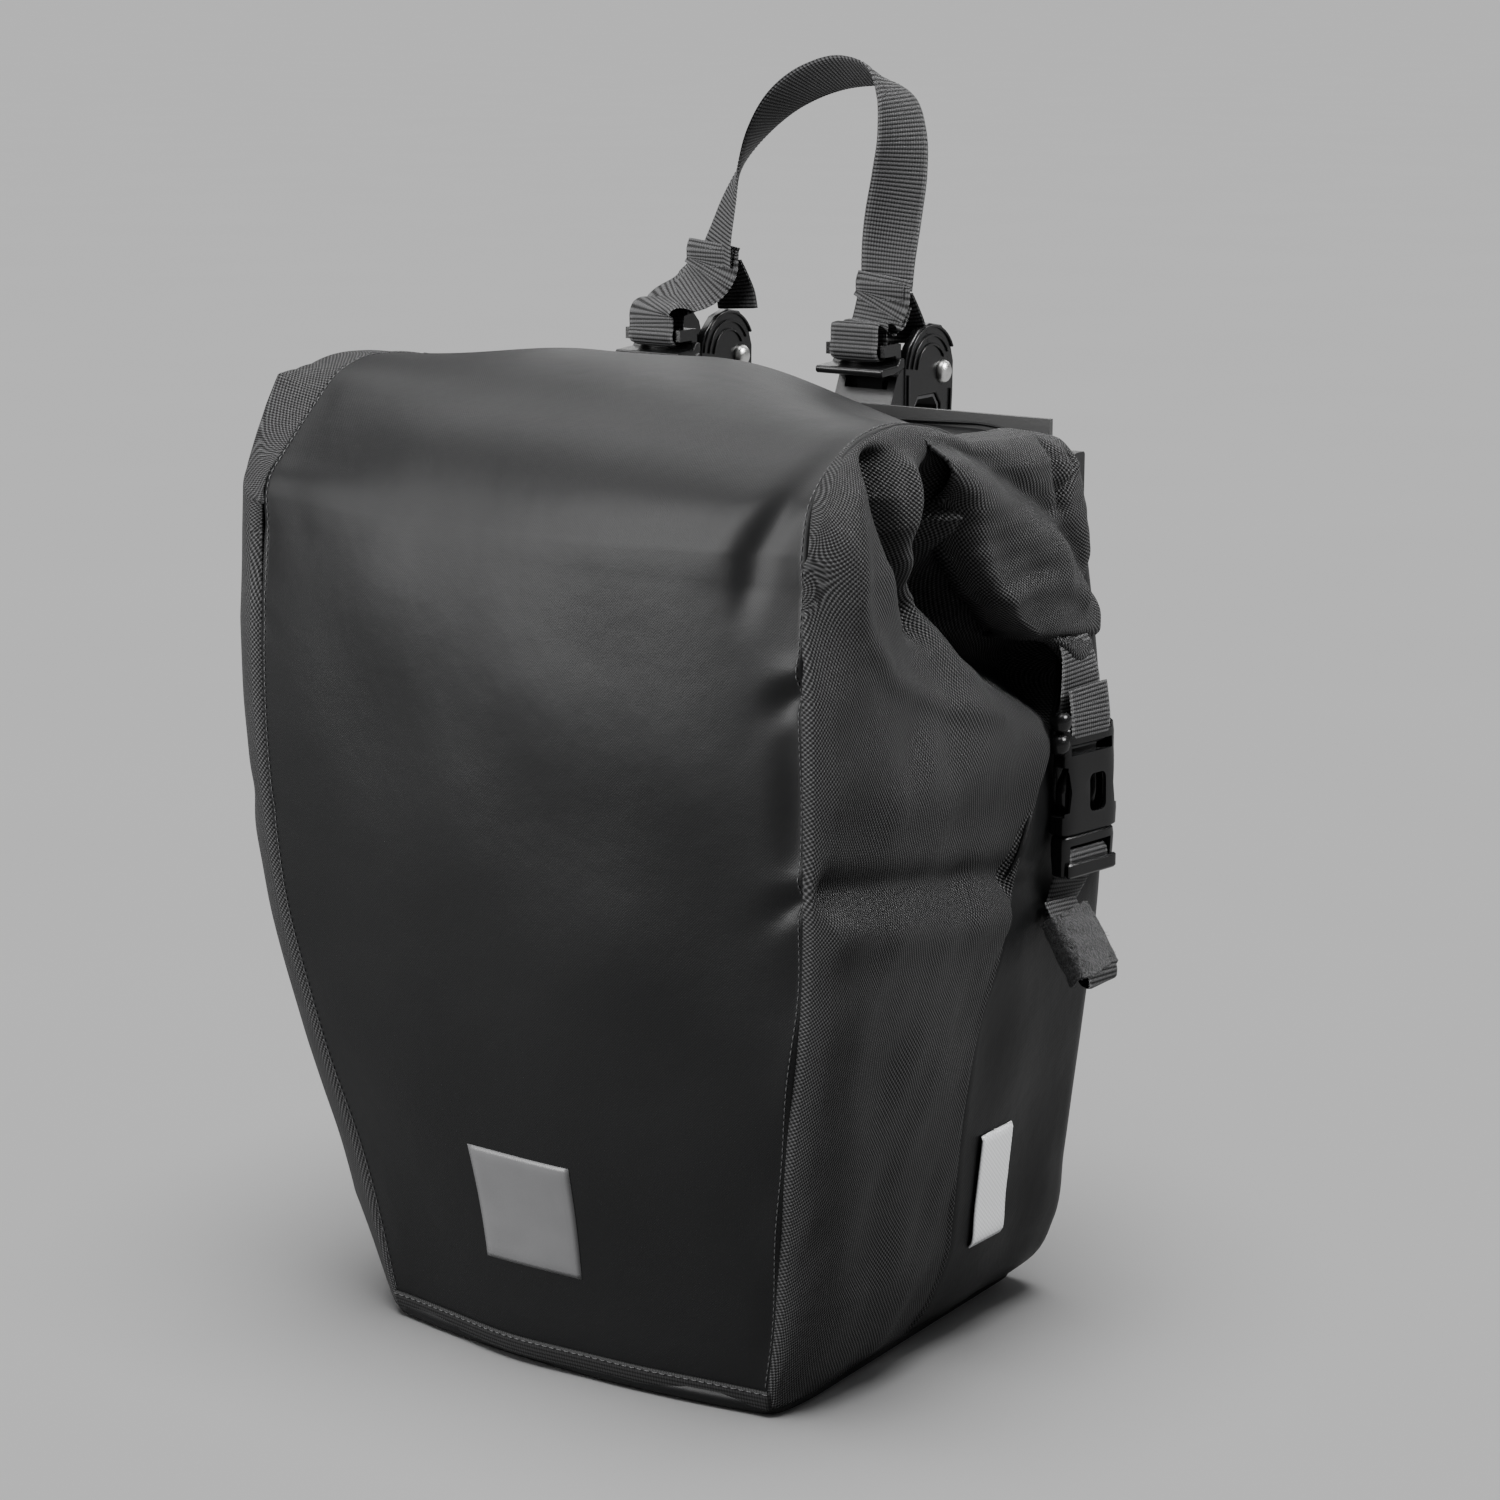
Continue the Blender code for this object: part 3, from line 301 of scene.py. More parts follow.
# ---------------------------------------------------------------- materials
class Shader:
    """Small helper for building one node material."""

    def __init__(self, name, roughness=0.5, metallic=0.0, specular=0.5):
        self.material = bpy.data.materials.new(name)
        self.material.use_nodes = True
        self.tree = self.material.node_tree
        self.surface = self.tree.nodes["Principled BSDF"]
        self.surface.inputs["Roughness"].default_value = roughness
        self.surface.inputs["Metallic"].default_value = metallic
        self.surface.inputs["Specular IOR Level"].default_value = specular

    def node(self, kind, **settings):
        made = self.tree.nodes.new(kind)
        for key, value in settings.items():
            if key.startswith("in_"):
                made.inputs[int(key[3:])].default_value = value
            else:
                setattr(made, key, value)
        return made

    def link(self, source, target):
        self.tree.links.new(source, target)

    def math(self, operation, *values):
        made = self.node("ShaderNodeMath", operation=operation)
        for slot, value in enumerate(values):
            if isinstance(value, (int, float)):
                made.inputs[slot].default_value = value
            else:
                self.link(value, made.inputs[slot])
        return made.outputs[0]

    def noise(self, scale, detail=3.0, source="Object"):
        place = self.node("ShaderNodeTexCoord")
        made = self.node("ShaderNodeTexNoise")
        made.inputs["Scale"].default_value = scale
        made.inputs["Detail"].default_value = detail
        self.link(place.outputs[source], made.inputs["Vector"])
        return made.outputs["Fac"]

    def cloth_axes(self):
        """The fabric's own two directions in metres."""
        uv = self.node("ShaderNodeUVMap", uv_map="cloth_metres")
        parts = self.node("ShaderNodeSeparateXYZ")
        self.link(uv.outputs[0], parts.inputs[0])
        return parts.outputs[0], parts.outputs[1]

    def wave(self, axis, pitch):
        return self.math("SINE", self.math("MULTIPLY", axis, 2 * math.pi / pitch))

    def span(self, value, low, high, start=0.0, end=1.0):
        made = self.node("ShaderNodeMapRange")
        self.link(value, made.inputs["Value"])
        for key, number in (("From Min", start), ("From Max", end), ("To Min", low), ("To Max", high)):
            made.inputs[key].default_value = number
        return made.outputs["Result"]

    def colour(self, factor, dark, light):
        made = self.node("ShaderNodeMix", data_type="RGBA")
        self.link(factor, made.inputs["Factor"])
        made.inputs[6].default_value = (*dark, 1.0)
        made.inputs[7].default_value = (*light, 1.0)
        self.link(made.outputs[2], self.surface.inputs["Base Color"])

    def roughness(self, factor, low, high):
        self.link(self.span(factor, low, high), self.surface.inputs["Roughness"])

    def relief(self, *layers):
        """Stacks bumps, each a pair of height and depth in metres."""
        previous = None
        for height, depth in layers:
            made = self.node("ShaderNodeBump")
            made.inputs["Strength"].default_value = 1.0
            made.inputs["Distance"].default_value = depth
            self.link(height, made.inputs["Height"])
            if previous:
                self.link(previous, made.inputs["Normal"])
            previous = made.outputs["Normal"]
        self.link(previous, self.surface.inputs["Normal"])


def coated_fabric():
    """Smooth tarpaulin: faint mottling, a fine grain and a soft satin gloss."""
    s = Shader("coated_fabric", roughness=0.54, specular=0.16)
    cloud, grain = s.noise(9.0, 4.0), s.noise(1400.0, 2.0)
    s.colour(cloud, (0.0035, 0.0036, 0.0038), (0.0050, 0.0051, 0.0053))
    mottle = s.math("ADD", s.math("MULTIPLY", cloud, 0.6), s.math("MULTIPLY", grain, 0.4))
    s.roughness(mottle, 0.38, 0.52)
    across, up = s.cloth_axes()
    scrim = s.math("MULTIPLY", s.wave(across, 0.0011), s.wave(up, 0.0011))
    s.relief((s.noise(38.0, 3.0), 0.0006), (grain, 0.00006), (scrim, 0.000018))
    return s.material


def woven_nylon():
    """Coarse ballistic weave: staggered yarn crowns about 1.6 mm apart, painted lighter, with the gaps
    between them painted almost black as painted shade.
    """
    s = Shader("woven_nylon", roughness=0.55, specular=0.22)
    across, up = s.cloth_axes()
    crowns = s.math("MULTIPLY", s.wave(across, 0.0016), s.wave(up, 0.0021))
    crowns = s.span(crowns, 0.0, 1.0, -0.55, 0.75)
    threads = s.math("MULTIPLY", s.wave(across, 0.00043), s.wave(up, 0.00043))
    # Colour: the yarn crowns are painted lighter as painted highlights and the gaps between them almost
    # black as painted shade; the noise adds random tone.
    s.colour(s.math("MULTIPLY", crowns, s.span(s.noise(30.0, 2.0), 0.7, 1.0)),
             (0.0006, 0.0006, 0.0007), (0.054, 0.054, 0.055))
    s.roughness(crowns, 0.90, 0.42)
    s.relief((crowns, 0.00045), (threads, 0.00003))
    return s.material


def webbing_nylon(name="webbing_nylon", light=0.055):
    """Tight webbing yarns: the ribs are modelled, the threads across them are here. The gaps between the
    ribs are painted dark as painted shade, and the rib tops and yarn crowns are painted lighter as
    painted highlights.
    """
    s = Shader(name, roughness=0.60, specular=0.24)
    across, up = s.cloth_axes()
    yarn = s.span(s.wave(across, 0.00125), 0.0, 1.0, -1.0, 1.0)
    rib = s.span(s.wave(up, 0.0018), 0.0, 1.0, -0.9, 0.9)
    crown = s.math("MULTIPLY", s.math("MULTIPLY_ADD", yarn, 0.45, 0.5), rib)
    rib_shade_and_glints = s.math("ADD", s.math("MULTIPLY", rib, 0.55), crown)
    # Colour: the gaps between the ribs are painted dark as painted shade, and the rib tops and yarn
    # crowns are painted lighter as painted highlights.
    s.colour(rib_shade_and_glints, (0.0016, 0.0016, 0.0017), (light, light, light * 1.02))
    s.relief((yarn, 0.00014), (s.noise(2600.0, 2.0), 0.00005))
    return s.material


def brushed_felt():
    """Loop side of the hook-and-loop tape: fuzzy, matt and speckled."""
    s = Shader("brushed_felt", roughness=0.95, specular=0.15)
    fuzz = s.math("MULTIPLY", s.noise(900.0, 5.0), s.noise(2600.0, 4.0))
    s.colour(s.span(fuzz, 0.0, 1.0, 0.12, 0.38), (0.004, 0.004, 0.0042), (0.075, 0.075, 0.077))
    s.relief((s.noise(900.0, 5.0), 0.0009), (s.noise(2600.0, 3.0), 0.0004))
    s.surface.inputs["Sheen Weight"].default_value = 0.12
    s.surface.inputs["Sheen Roughness"].default_value = 0.7
    return s.material


def moulded_plastic(name="moulded_plastic", dark=0.0035, light=0.006, low=0.17, high=0.30):
    """Acetal: nearly black and a fine mould grain; its convex edges are painted a little lighter, a
    painted highlight.
    """
    s = Shader(name, roughness=low, specular=0.28)
    patch, grain = s.noise(60.0, 3.0), s.noise(2200.0, 2.0)
    edge = s.node("ShaderNodeNewGeometry").outputs["Pointiness"]
    # Convex edges, found by pointiness, are painted lighter: a painted highlight along the edges.
    edge_highlight = s.span(edge, 0.0, 1.0, 0.52, 0.62)
    s.colour(s.math("ADD", s.math("MULTIPLY", patch, 0.5), s.math("MULTIPLY", edge_highlight, 0.6)),
             (dark, dark, dark * 1.04), (light * 1.5, light * 1.5, light * 1.55))
    s.roughness(patch, low, high)
    s.relief((grain, 0.00005))
    return s.material


def zinc_steel():
    s = Shader("zinc_steel", roughness=0.28, metallic=1.0)
    stain, scratch = s.noise(400.0, 4.0), s.noise(4000.0, 2.0)
    s.colour(stain, (0.42, 0.42, 0.41), (0.78, 0.78, 0.76))
    s.roughness(stain, 0.20, 0.42)
    s.relief((scratch, 0.00004))
    return s.material


def reflective_film():
    """Silver film of tiny glass beads in a fine honeycomb."""
    s = Shader("reflective_film", roughness=0.35, specular=0.6)
    across, up = s.cloth_axes()
    cells = s.math("MULTIPLY", s.wave(across, 0.0022), s.wave(up, 0.0022))
    s.colour(s.span(cells, 0.0, 1.0, -1.0, 1.0), (0.62, 0.63, 0.64), (0.86, 0.87, 0.88))
    s.roughness(s.noise(300.0, 2.0), 0.28, 0.45)
    s.relief((cells, 0.00004))
    s.surface.inputs["Coat Weight"].default_value = 0.4
    return s.material


def badge_film():
    """Plain grey transfer, slightly satin."""
    s = Shader("badge_film", roughness=0.40, specular=0.45)
    cloud = s.noise(60.0, 3.0)
    s.colour(cloud, (0.080, 0.080, 0.082), (0.098, 0.098, 0.100))
    s.roughness(cloud, 0.34, 0.46)
    s.relief((s.noise(1400.0, 2.0), 0.00004))
    return s.material


def board_plastic():
    s = Shader("board_plastic", roughness=0.55)
    cloud = s.noise(25.0, 3.0)
    s.colour(cloud, (0.020, 0.020, 0.020), (0.034, 0.034, 0.034))
    s.roughness(cloud, 0.45, 0.65)
    s.relief((s.noise(700.0, 2.0), 0.00008))
    return s.material


def sewing_thread():
    s = Shader("sewing_thread", roughness=0.55, specular=0.4)
    s.colour(s.noise(1500.0, 2.0), (0.020, 0.020, 0.020), (0.060, 0.060, 0.062))
    return s.material


# ---------------------------------------------------------------- outward face
TUB_ROWS, CREST_ROWS = 96, 84
FACE_COLUMNS = 131
SEAM_TUCKS = [(0.223, 0.0042), (0.303, 0.0034)]   # height and depth of the tucks beside the seams
TUCK_SLANT = 0.45


def crest_profiles():
    """Edge line of the crest at the front end, the middle and the rear end, as even rows."""
    return [along_path(line, CREST_ROWS) for line in (CREST_FRONT, CREST_MIDDLE, CREST_REAR)]


def crest_line(x):
    """Depth and height rows of the crest at every x, as arrays of shape rows, columns."""
    front, middle, rear = crest_profiles()
    to_rear, to_front = smooth(x / 0.128), smooth((-x - 0.060) / 0.070)
    to_middle = 1.0 - to_rear - to_front
    return (front[:, None] * to_front[None, :, None] + middle[:, None] * to_middle[None, :, None]
            + rear[:, None] * to_rear[None, :, None])


def face_relief(across, height, x):
    """Outward movement of the coated face: sag, creases and tucks, in metres."""
    move = 0.0011 * ripple(x, height, 0.13, 3) + 0.0005 * ripple(x, height, 0.055, 4)
    edge = 1.0 - np.abs(across)
    for side, seed, amount in ((1.0, 11, 1.0), (-1.0, 12, 0.12)):   # rear seam, then the calmer front
        near = np.clip(1.0 - side * across, 0.0, 2.0) * 0.13
        for z, full in SEAM_TUCKS:
            depth = full * amount
            fan = 0.0035 + near * 0.30
            move -= depth * bump(height - z + near * TUCK_SLANT, fan) * bump(near - 0.002, 0.014)
            move += 0.45 * depth * bump(height - z - 0.009 + near * TUCK_SLANT, fan) * bump(near, 0.016)
        band = smooth((height - 0.215) / 0.02) * smooth((0.312 - height) / 0.02)
        move -= 0.0018 * amount * band * bump(near - 0.004, 0.008)
        move += 0.0007 * bump(near, 0.010) * ripple(height, 0.0 * height, 0.045, seed)
    crease, where = path_distance(x, height, [(0.128, 0.386), (0.112, 0.352), (0.106, 0.318)])
    move -= 0.0022 * bump(crease, 0.006) * (1.0 - smooth((where - 0.55) / 0.45))
    move += 0.0016 * bump(path_distance(x, height, [(0.120, 0.392), (0.098, 0.350)])[0], 0.012)
    ridge, _ = path_distance(x, height, [(-0.128, 0.385), (-0.112, 0.345)])
    move -= 0.0005 * bump(ridge, 0.010)
    return move * smooth(edge / 0.02)


def outward_points():
    """Grid of the coated face from the base, up and over the crest, to the roll."""
    across = np.linspace(-1.0, 1.0, FACE_COLUMNS)
    across = np.sign(across) * (1.0 - (1.0 - np.abs(across)) ** 1.12)
    heights = np.linspace(BASE_SEAM, TUB_TOP, TUB_ROWS)
    half = station(heights, 2)
    tub = np.zeros((TUB_ROWS, FACE_COLUMNS, 3))
    tub[:, :, 0] = half[:, None] * across
    tub[:, :, 1] = BACK_Y - station(heights, 1)[:, None]
    tub[:, :, 2] = heights[:, None]
    lines = crest_line(0.133 * across)
    crest = np.zeros((CREST_ROWS, FACE_COLUMNS, 3))
    narrow = np.linspace(0.1337, 0.1275, CREST_ROWS)
    crest[:, :, 0] = narrow[:, None] * across
    crest[:, :, 1] = BACK_Y - lines[:, :, 0]
    crest[:, :, 2] = lines[:, :, 1]
    points = np.concatenate([tub[:-1], crest[1:]])
    depth = BACK_Y - points[:, :, 1]
    full = np.clip((depth - 0.13) / 0.08, 0.0, 1.0)
    points[:, :, 1] -= FACE_BULGE * smooth(full) * (1.0 - across[None, :] ** 2)
    relief = face_relief(across[None, :] + 0 * depth, points[:, :, 2], points[:, :, 0])
    forward = smooth((depth - 0.10) / 0.09)
    points[:, :, 1] -= relief * forward
    points[:, :, 2] += relief * (1.0 - forward) * 0.5 + 0.0005 * (1 - forward) * ripple(
        points[:, :, 0], depth, 0.10, 21)
    return settle(points)


def rim_lip(points):
    """Turns the outer two columns of the face back into the seam, as a folded, stitched edge."""
    turned = points.copy()
    for side in (0, -1):
        inner = 1 if side == 0 else -2
        outward = points[:, side] - points[:, inner]
        outward /= np.linalg.norm(outward, axis=1, keepdims=True)
        turned[:, side] = points[:, side] + outward * 0.0006
        turned[:, side, 1] += 0.0016
    return turned


def build_outward(coated):
    points = rim_lip(outward_points())
    item = cloth_grid("outward_sheet", points, coated, COATED_THICK)
    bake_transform(item)
    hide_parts("outward_panel", "crest_panel")
    return points


# ---------------------------------------------------------------- woven ends
END_COLUMNS, END_TUB_ROWS, END_COLLAR_ROWS = 190, 218, 97
END_TOP = 0.300            # height where the rows of the ends start to fan out to the crest
# folds of the collar's end as paths of depth and height
FIRST_HOLLOW = [(0.182, 0.384), (0.185, 0.370), (0.180, 0.354), (0.168, 0.338), (0.150, 0.320)]
SECOND_HOLLOW = [(0.142, 0.366), (0.148, 0.355), (0.138, 0.340), (0.118, 0.322), (0.096, 0.302),
                 (0.066, 0.286), (0.045, 0.280)]
BETWEEN_RIDGE = [(0.164, 0.380), (0.164, 0.360), (0.154, 0.343), (0.140, 0.327)]
FLANK_LINE = [(0.206, 0.376), (0.211, 0.352), (0.211, 0.337), (0.204, 0.321), (0.187, 0.304),
              (0.150, 0.288), (0.110, 0.278)]


def end_relief(depth, height):
    """Outward movement of a woven end: pleat hollows, folds and the crease of the load."""
    first, _ = path_distance(depth, height, FIRST_HOLLOW)
    second, where = path_distance(depth, height, SECOND_HOLLOW)
    ridge, _ = path_distance(depth, height, BETWEEN_RIDGE)
    flank, _ = path_distance(depth, height, FLANK_LINE)
    move = -0.017 * bump(first, 0.0075)
    move -= 0.030 * bump(second, 0.0115 + 0.005 * where)
    move += 0.004 * bump(ridge, 0.0045)
    move += 0.0030 * bump(flank, 0.0060)
    covered = smooth((0.130 - depth) / 0.020) * smooth((height - 0.292) / 0.020)
    move -= 0.012 * covered
    pocket = bump(np.hypot((depth - 0.150) / 1.5, height - 0.322), 0.022)
    move -= 0.009 * pocket
    move += 0.0050 * bump(height - 0.262 + 0.10 * (depth - 0.1), 0.022) * smooth((0.215 - depth) / 0.03)
    fold = height - np.interp(depth, [0.07, 0.10, 0.14, 0.18, 0.22], [0.200, 0.207, 0.214, 0.222, 0.227])
    move -= 0.0062 * bump(fold, 0.0080) + 0.0025 * bump(fold - 0.020, 0.014)
    move += 0.0042 * bump(fold + 0.017, 0.011)
    slant, _ = path_distance(depth, height, [(0.215, 0.225), (0.150, 0.205), (0.070, 0.215)])
    move -= 0.0022 * bump(slant, 0.010)
    upright, _ = path_distance(depth, height, [(0.150, 0.150), (0.140, 0.060)])
    move += 0.0018 * bump(upright, 0.018)
    move += 0.0016 * ripple(depth, height, 0.070, 31) + 0.0006 * ripple(depth, height, 0.026, 32)
    return move


def standing_corner(low, rim, rim_half, u):
    """Collar of the front end: up beside the crest to a folded corner, then in to its edge."""
    w = np.linspace(0.0, 1.0, END_COLLAR_ROWS)[1:, None]
    climb, over = np.minimum(w / 0.86, 1.0), np.clip((w - 0.86) / 0.14, 0.0, 1.0)
    shift = np.interp(rim[:, 0], [0.170, 0.190, 0.198, 0.209, 0.2175, 0.2215],
                      [0.0, 0.0010, 0.0005, -0.0030, -0.0065, -0.0065]) * smooth(u / 0.04)
    stand = np.interp(rim[:, 0], [0.172, 0.1805, 0.1895, 0.198, 0.209, 0.2175],
                      [0.0, 0.0030, 0.0105, 0.0067, 0.0033, 0.0010]) * smooth(u / 0.04)
    corner = np.minimum(low[:, 2] - 0.0040 * smooth(u / 0.2), 0.1500)
    depth = low[:, 0] + (rim[:, 0] + shift - low[:, 0]) * climb - shift * over
    height = low[:, 1] + (rim[:, 1] + stand - low[:, 1]) * climb - stand * over
    half = low[:, 2] + (corner - low[:, 2]) * climb - (corner - rim_half) * over
    rows = np.concatenate([low[None], np.stack([depth, height, half], 2)])
    for _ in range(5):
        rows[1:-1] = 0.25 * rows[:-2] + 0.5 * rows[1:-1] + 0.25 * rows[2:]
    return rows[1:]


def end_grid(crest, swell, stands):
    """Depth, height and half width of the woven end, from the base seam to the crest's edge."""
    u = np.linspace(0.0, 1.0, END_COLUMNS)
    heights = np.linspace(BASE_SEAM, END_TOP, END_TUB_ROWS)
    front, back = station(heights, 1), wrap_depth(heights)
    depth = front[:, None] + (back - front)[:, None] * u
    if stands:
        swell = swell + 0.0035 * bump(heights[:, None] - 0.325, 0.050)
    half = end_half_width(heights[:, None] + 0 * depth, depth, swell)
    tub = np.stack([depth, heights[:, None] + 0 * depth, half], 2)
    rim = along_path(crest, END_COLUMNS)
    low = tub[-1]
    rim_half = np.minimum(0.1332 - 0.0040 * smooth(u / 0.25), low[:, 2])
    if stands:
        return np.concatenate([tub, standing_corner(low, rim, rim_half, u)])
    w = np.linspace(0.0, 1.0, END_COLLAR_ROWS)[1:, None]
    depth = low[:, 0] + (rim[:, 0] - low[:, 0]) * w
    height = low[:, 1] + (rim[:, 1] - low[:, 1]) * w
    upright = (TUB_TOP - END_TOP) / (rim[:, 1] - END_TOP)
    turn = np.clip((w - upright) / (1.0 - upright), 0.0, 1.0)
    shoulder = np.sqrt(np.clip(1.0 - turn ** 3.2, 0.0, 1.0))
    narrow = 1.0 - smooth(u / 0.10)
    reach = low[:, 2] - 0.0060 * smooth(u / 0.2) * turn - rim_half
    half = rim_half + reach * (shoulder * (1 - narrow) + (1 - w) * narrow)
    return np.concatenate([tub, np.stack([depth, height, half], 2)])


def end_points(side, crest):
    grid = end_grid(crest, END_SWELL if side > 0 else END_SWELL + 0.006, side < 0)
    depth, height, half = grid[:, :, 0], grid[:, :, 1], grid[:, :, 2]
    u = np.linspace(0.0, 1.0, END_COLUMNS)[None, :]
    rows = len(grid)
    v = np.arange(rows)[:, None] / (rows - 1.0)
    hold = smooth(u / 0.035) * smooth((1.0 - u) / 0.03 + (height > 0.30) * 1.0)
    hold = hold * smooth((1.0 - v) * rows / 9.0) * smooth(v * rows / 6.0)
    calm = 1.0 if side > 0 else 0.15 + 0.85 * smooth((u - 0.15) / 0.35)
    move = end_relief(depth, height) * hold * calm
    lift = 0.0006 - 0.0014 * bump(u, 0.010)
    points = np.zeros(grid.shape)
    points[:, :, 0] = side * (half + move + lift)
    points[:, :, 1] = BACK_Y - depth
    points[:, :, 2] = height
    return settle(points)


def build_end(name, side, crest, woven):
    points = end_points(side, crest)
    weave = relaxed_uv(points, np.stack([-points[:, :, 1], points[:, :, 2]], 2))
    item = cloth_grid(name + "_gusset_fabric", points, woven, SHEET_THICK, flip=side < 0, uv=weave)
    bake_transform(item)
    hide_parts(name + "_gusset", name + "_collar_end")
    return points


# ---------------------------------------------------------------- back fabric, base and binding
def back_points():
    """Back wall with its two wings, from the base up to the roll."""
    heights = np.concatenate([np.linspace(BASE_SEAM, TUB_TOP, 110), np.linspace(0.3475, 0.3660, 9)])
    columns = 60
    rows = []
    for z in heights:
        wing = wrap_depth(z) + 0.0022 + 0.0018 * bump(z - 0.338, 0.025)
        corner = 0.018 * (1 - np.linspace(0, 1, 14)[1:]) ** 1.7
        depths = np.concatenate([np.linspace(wing, 0.018, 26), corner])
        x = end_half_width(min(z, TUB_TOP), depths) + 0.0004
        lean = 0.50 * max(0.0, z - TUB_TOP)
        side = np.stack([x, BACK_Y - depths - lean, z + 0 * x], 1)
        side[0, 0] -= 0.0014
        middle = np.linspace(side[-1, 0], -side[-1, 0], columns + 1)[1:-1]
        flat = np.stack([middle, 0 * middle + BACK_Y - lean, z + 0 * middle], 1)
        other = side[::-1].copy()
        other[:, 0] *= -1
        rows.append(np.concatenate([side, flat, other]))
    points = np.array(rows)
    x, z = points[:, :, 0], points[:, :, 2]
    depth = BACK_Y - points[:, :, 1]
    wing_part = smooth((depth - 0.010) / 0.02)
    ends = np.sign(x) * wing_part * (0.0010 * ripple(depth, z, 0.06, 41)
                                     - 0.0035 * bump(z - 0.198, 0.010) * smooth((depth - 0.01) / 0.03))
    points[:, :, 0] += ends
    edge = smooth((z - 0.004) / 0.01)
    points[:, :, 1] -= (1.0 - wing_part) * edge * (0.0006 + 0.0006 * ripple(x, z, 0.08, 42))
    return settle(points)


def build_back(coated):
    item = cloth_grid("back_fabric", back_points(), coated, COATED_THICK)
    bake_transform(item)
    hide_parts("back_panel")


def base_outline(count, z=BASE_SEAM):
    """Closed outline of the base, even along its length."""
    depth = float(station(np.array(z), 1))
    half = float(station(np.array(z), 2))
    across = np.linspace(-1.0, 1.0, 80)
    face = np.stack([half * across, BACK_Y - depth - FACE_BULGE * (1 - across ** 2)], 1)
    ahead = np.linspace(depth, 0.0, 90)[1:]
    rear = np.stack([end_half_width(z, ahead) + 0.0006, BACK_Y - ahead], 1)
    outline = np.concatenate([face, rear, (rear * (-1, 1))[::-1]])
    closed = np.concatenate([outline, outline[:1]])
    knots = run_length(closed)
    even = np.linspace(0.0, knots[-1], count, endpoint=False)
    return np.stack([np.interp(even, knots, closed[:, k]) for k in (0, 1)], 1)


def build_base(coated):
    """Base sheet: flat in the middle, rounded up into the side seam."""
    count = 260
    outline = base_outline(count)
    centre = outline.mean(axis=0)
    rings = [(0.988, 0.0062), (0.986, 0.0030), (0.980, 0.0012), (0.97, 0.0005), (0.94, 0.0002),
             (0.85, 0.0002), (0.6, 0.0003), (0.3, 0.0003), (0.02, 0.0003)]
    points = np.array([np.c_[centre + (outline - centre) * share, np.full(count, z)]
                       for share, z in rings])
    points = settle(np.concatenate([points, points[:, :1]], axis=1))
    item = cloth_grid("base_fabric", points, coated, SHEET_THICK)
    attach(item, "bag")
    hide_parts("base_panel")


# ---------------------------------------------------------------- rolled mouth and ears
def roll_points():
    """The mouth rolled up in almost three turns: a flattened spiral."""
    turns, count = 2.9, 190
    angle = np.linspace(0.0, 2 * math.pi * turns, count)
    part = angle / angle[-1]
    wide, tall = 0.0040 + 0.0094 * part, 0.0024 + 0.0076 * part
    y = BACK_Y - 0.0225 + wide * np.cos(angle + 2.3)
    z = 0.3670 + tall * np.sin(angle + 2.3)
    x = np.linspace(-0.1235, 0.1235, 60)
    points = np.zeros((count, 60, 3))
    points[:, :, 0] = x
    points[:, :, 1] = y[:, None] + 0.0008 * ripple(x[None, :], 0.3 * part[:, None], 0.09, 51)
    points[:, :, 2] = z[:, None] - 0.0045 * smooth((np.abs(x) - 0.085) / 0.04) + 0.0008 * ripple(
        x[None, :], part[:, None], 0.12, 52)
    return points


def build_roll(coated):
    item = cloth_grid("roll_fabric", roll_points(), coated, ROLL_THICK)
    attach(item, "roll_top")
    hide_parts("rolled_mouth")


EAR_LEFT = [(0.140, 0.3800), (0.1340, 0.3640), (0.1250, 0.3450), (0.1120, 0.3270), (0.0950, 0.3120),
            (0.0720, 0.3000)]
EAR_RIGHT = [(0.0280, 0.3760), (0.0250, 0.3640), (0.0230, 0.3480), (0.0210, 0.3250), (0.0190, 0.3050),
             (0.0210, 0.2900)]
EAR_FOLDS = [   # path of depth and height, outward movement, width
    ([(0.142, 0.376), (0.115, 0.362), (0.088, 0.348), (0.060, 0.332)], 0.0050, 0.0110),
    ([(0.136, 0.390), (0.112, 0.377), (0.088, 0.365), (0.062, 0.350), (0.040, 0.333), (0.026, 0.316)],
     -0.0055, 0.0060),
    ([(0.112, 0.316), (0.085, 0.323), (0.060, 0.322), (0.040, 0.314)], 0.0028, 0.0050),
    ([(0.058, 0.384), (0.057, 0.362), (0.050, 0.350)], -0.0034, 0.0034),
    ([(0.049, 0.384), (0.049, 0.365)], 0.0024, 0.0040),
    ([(0.040, 0.368), (0.056, 0.350)], -0.0048, 0.0026),
    ([(0.082, 0.3010), (0.060, 0.2995), (0.040, 0.2965), (0.018, 0.2925)], -0.0042, 0.0020),
]
EAR_ROWS, EAR_OVER, EAR_COLUMNS = 120, 26, 150


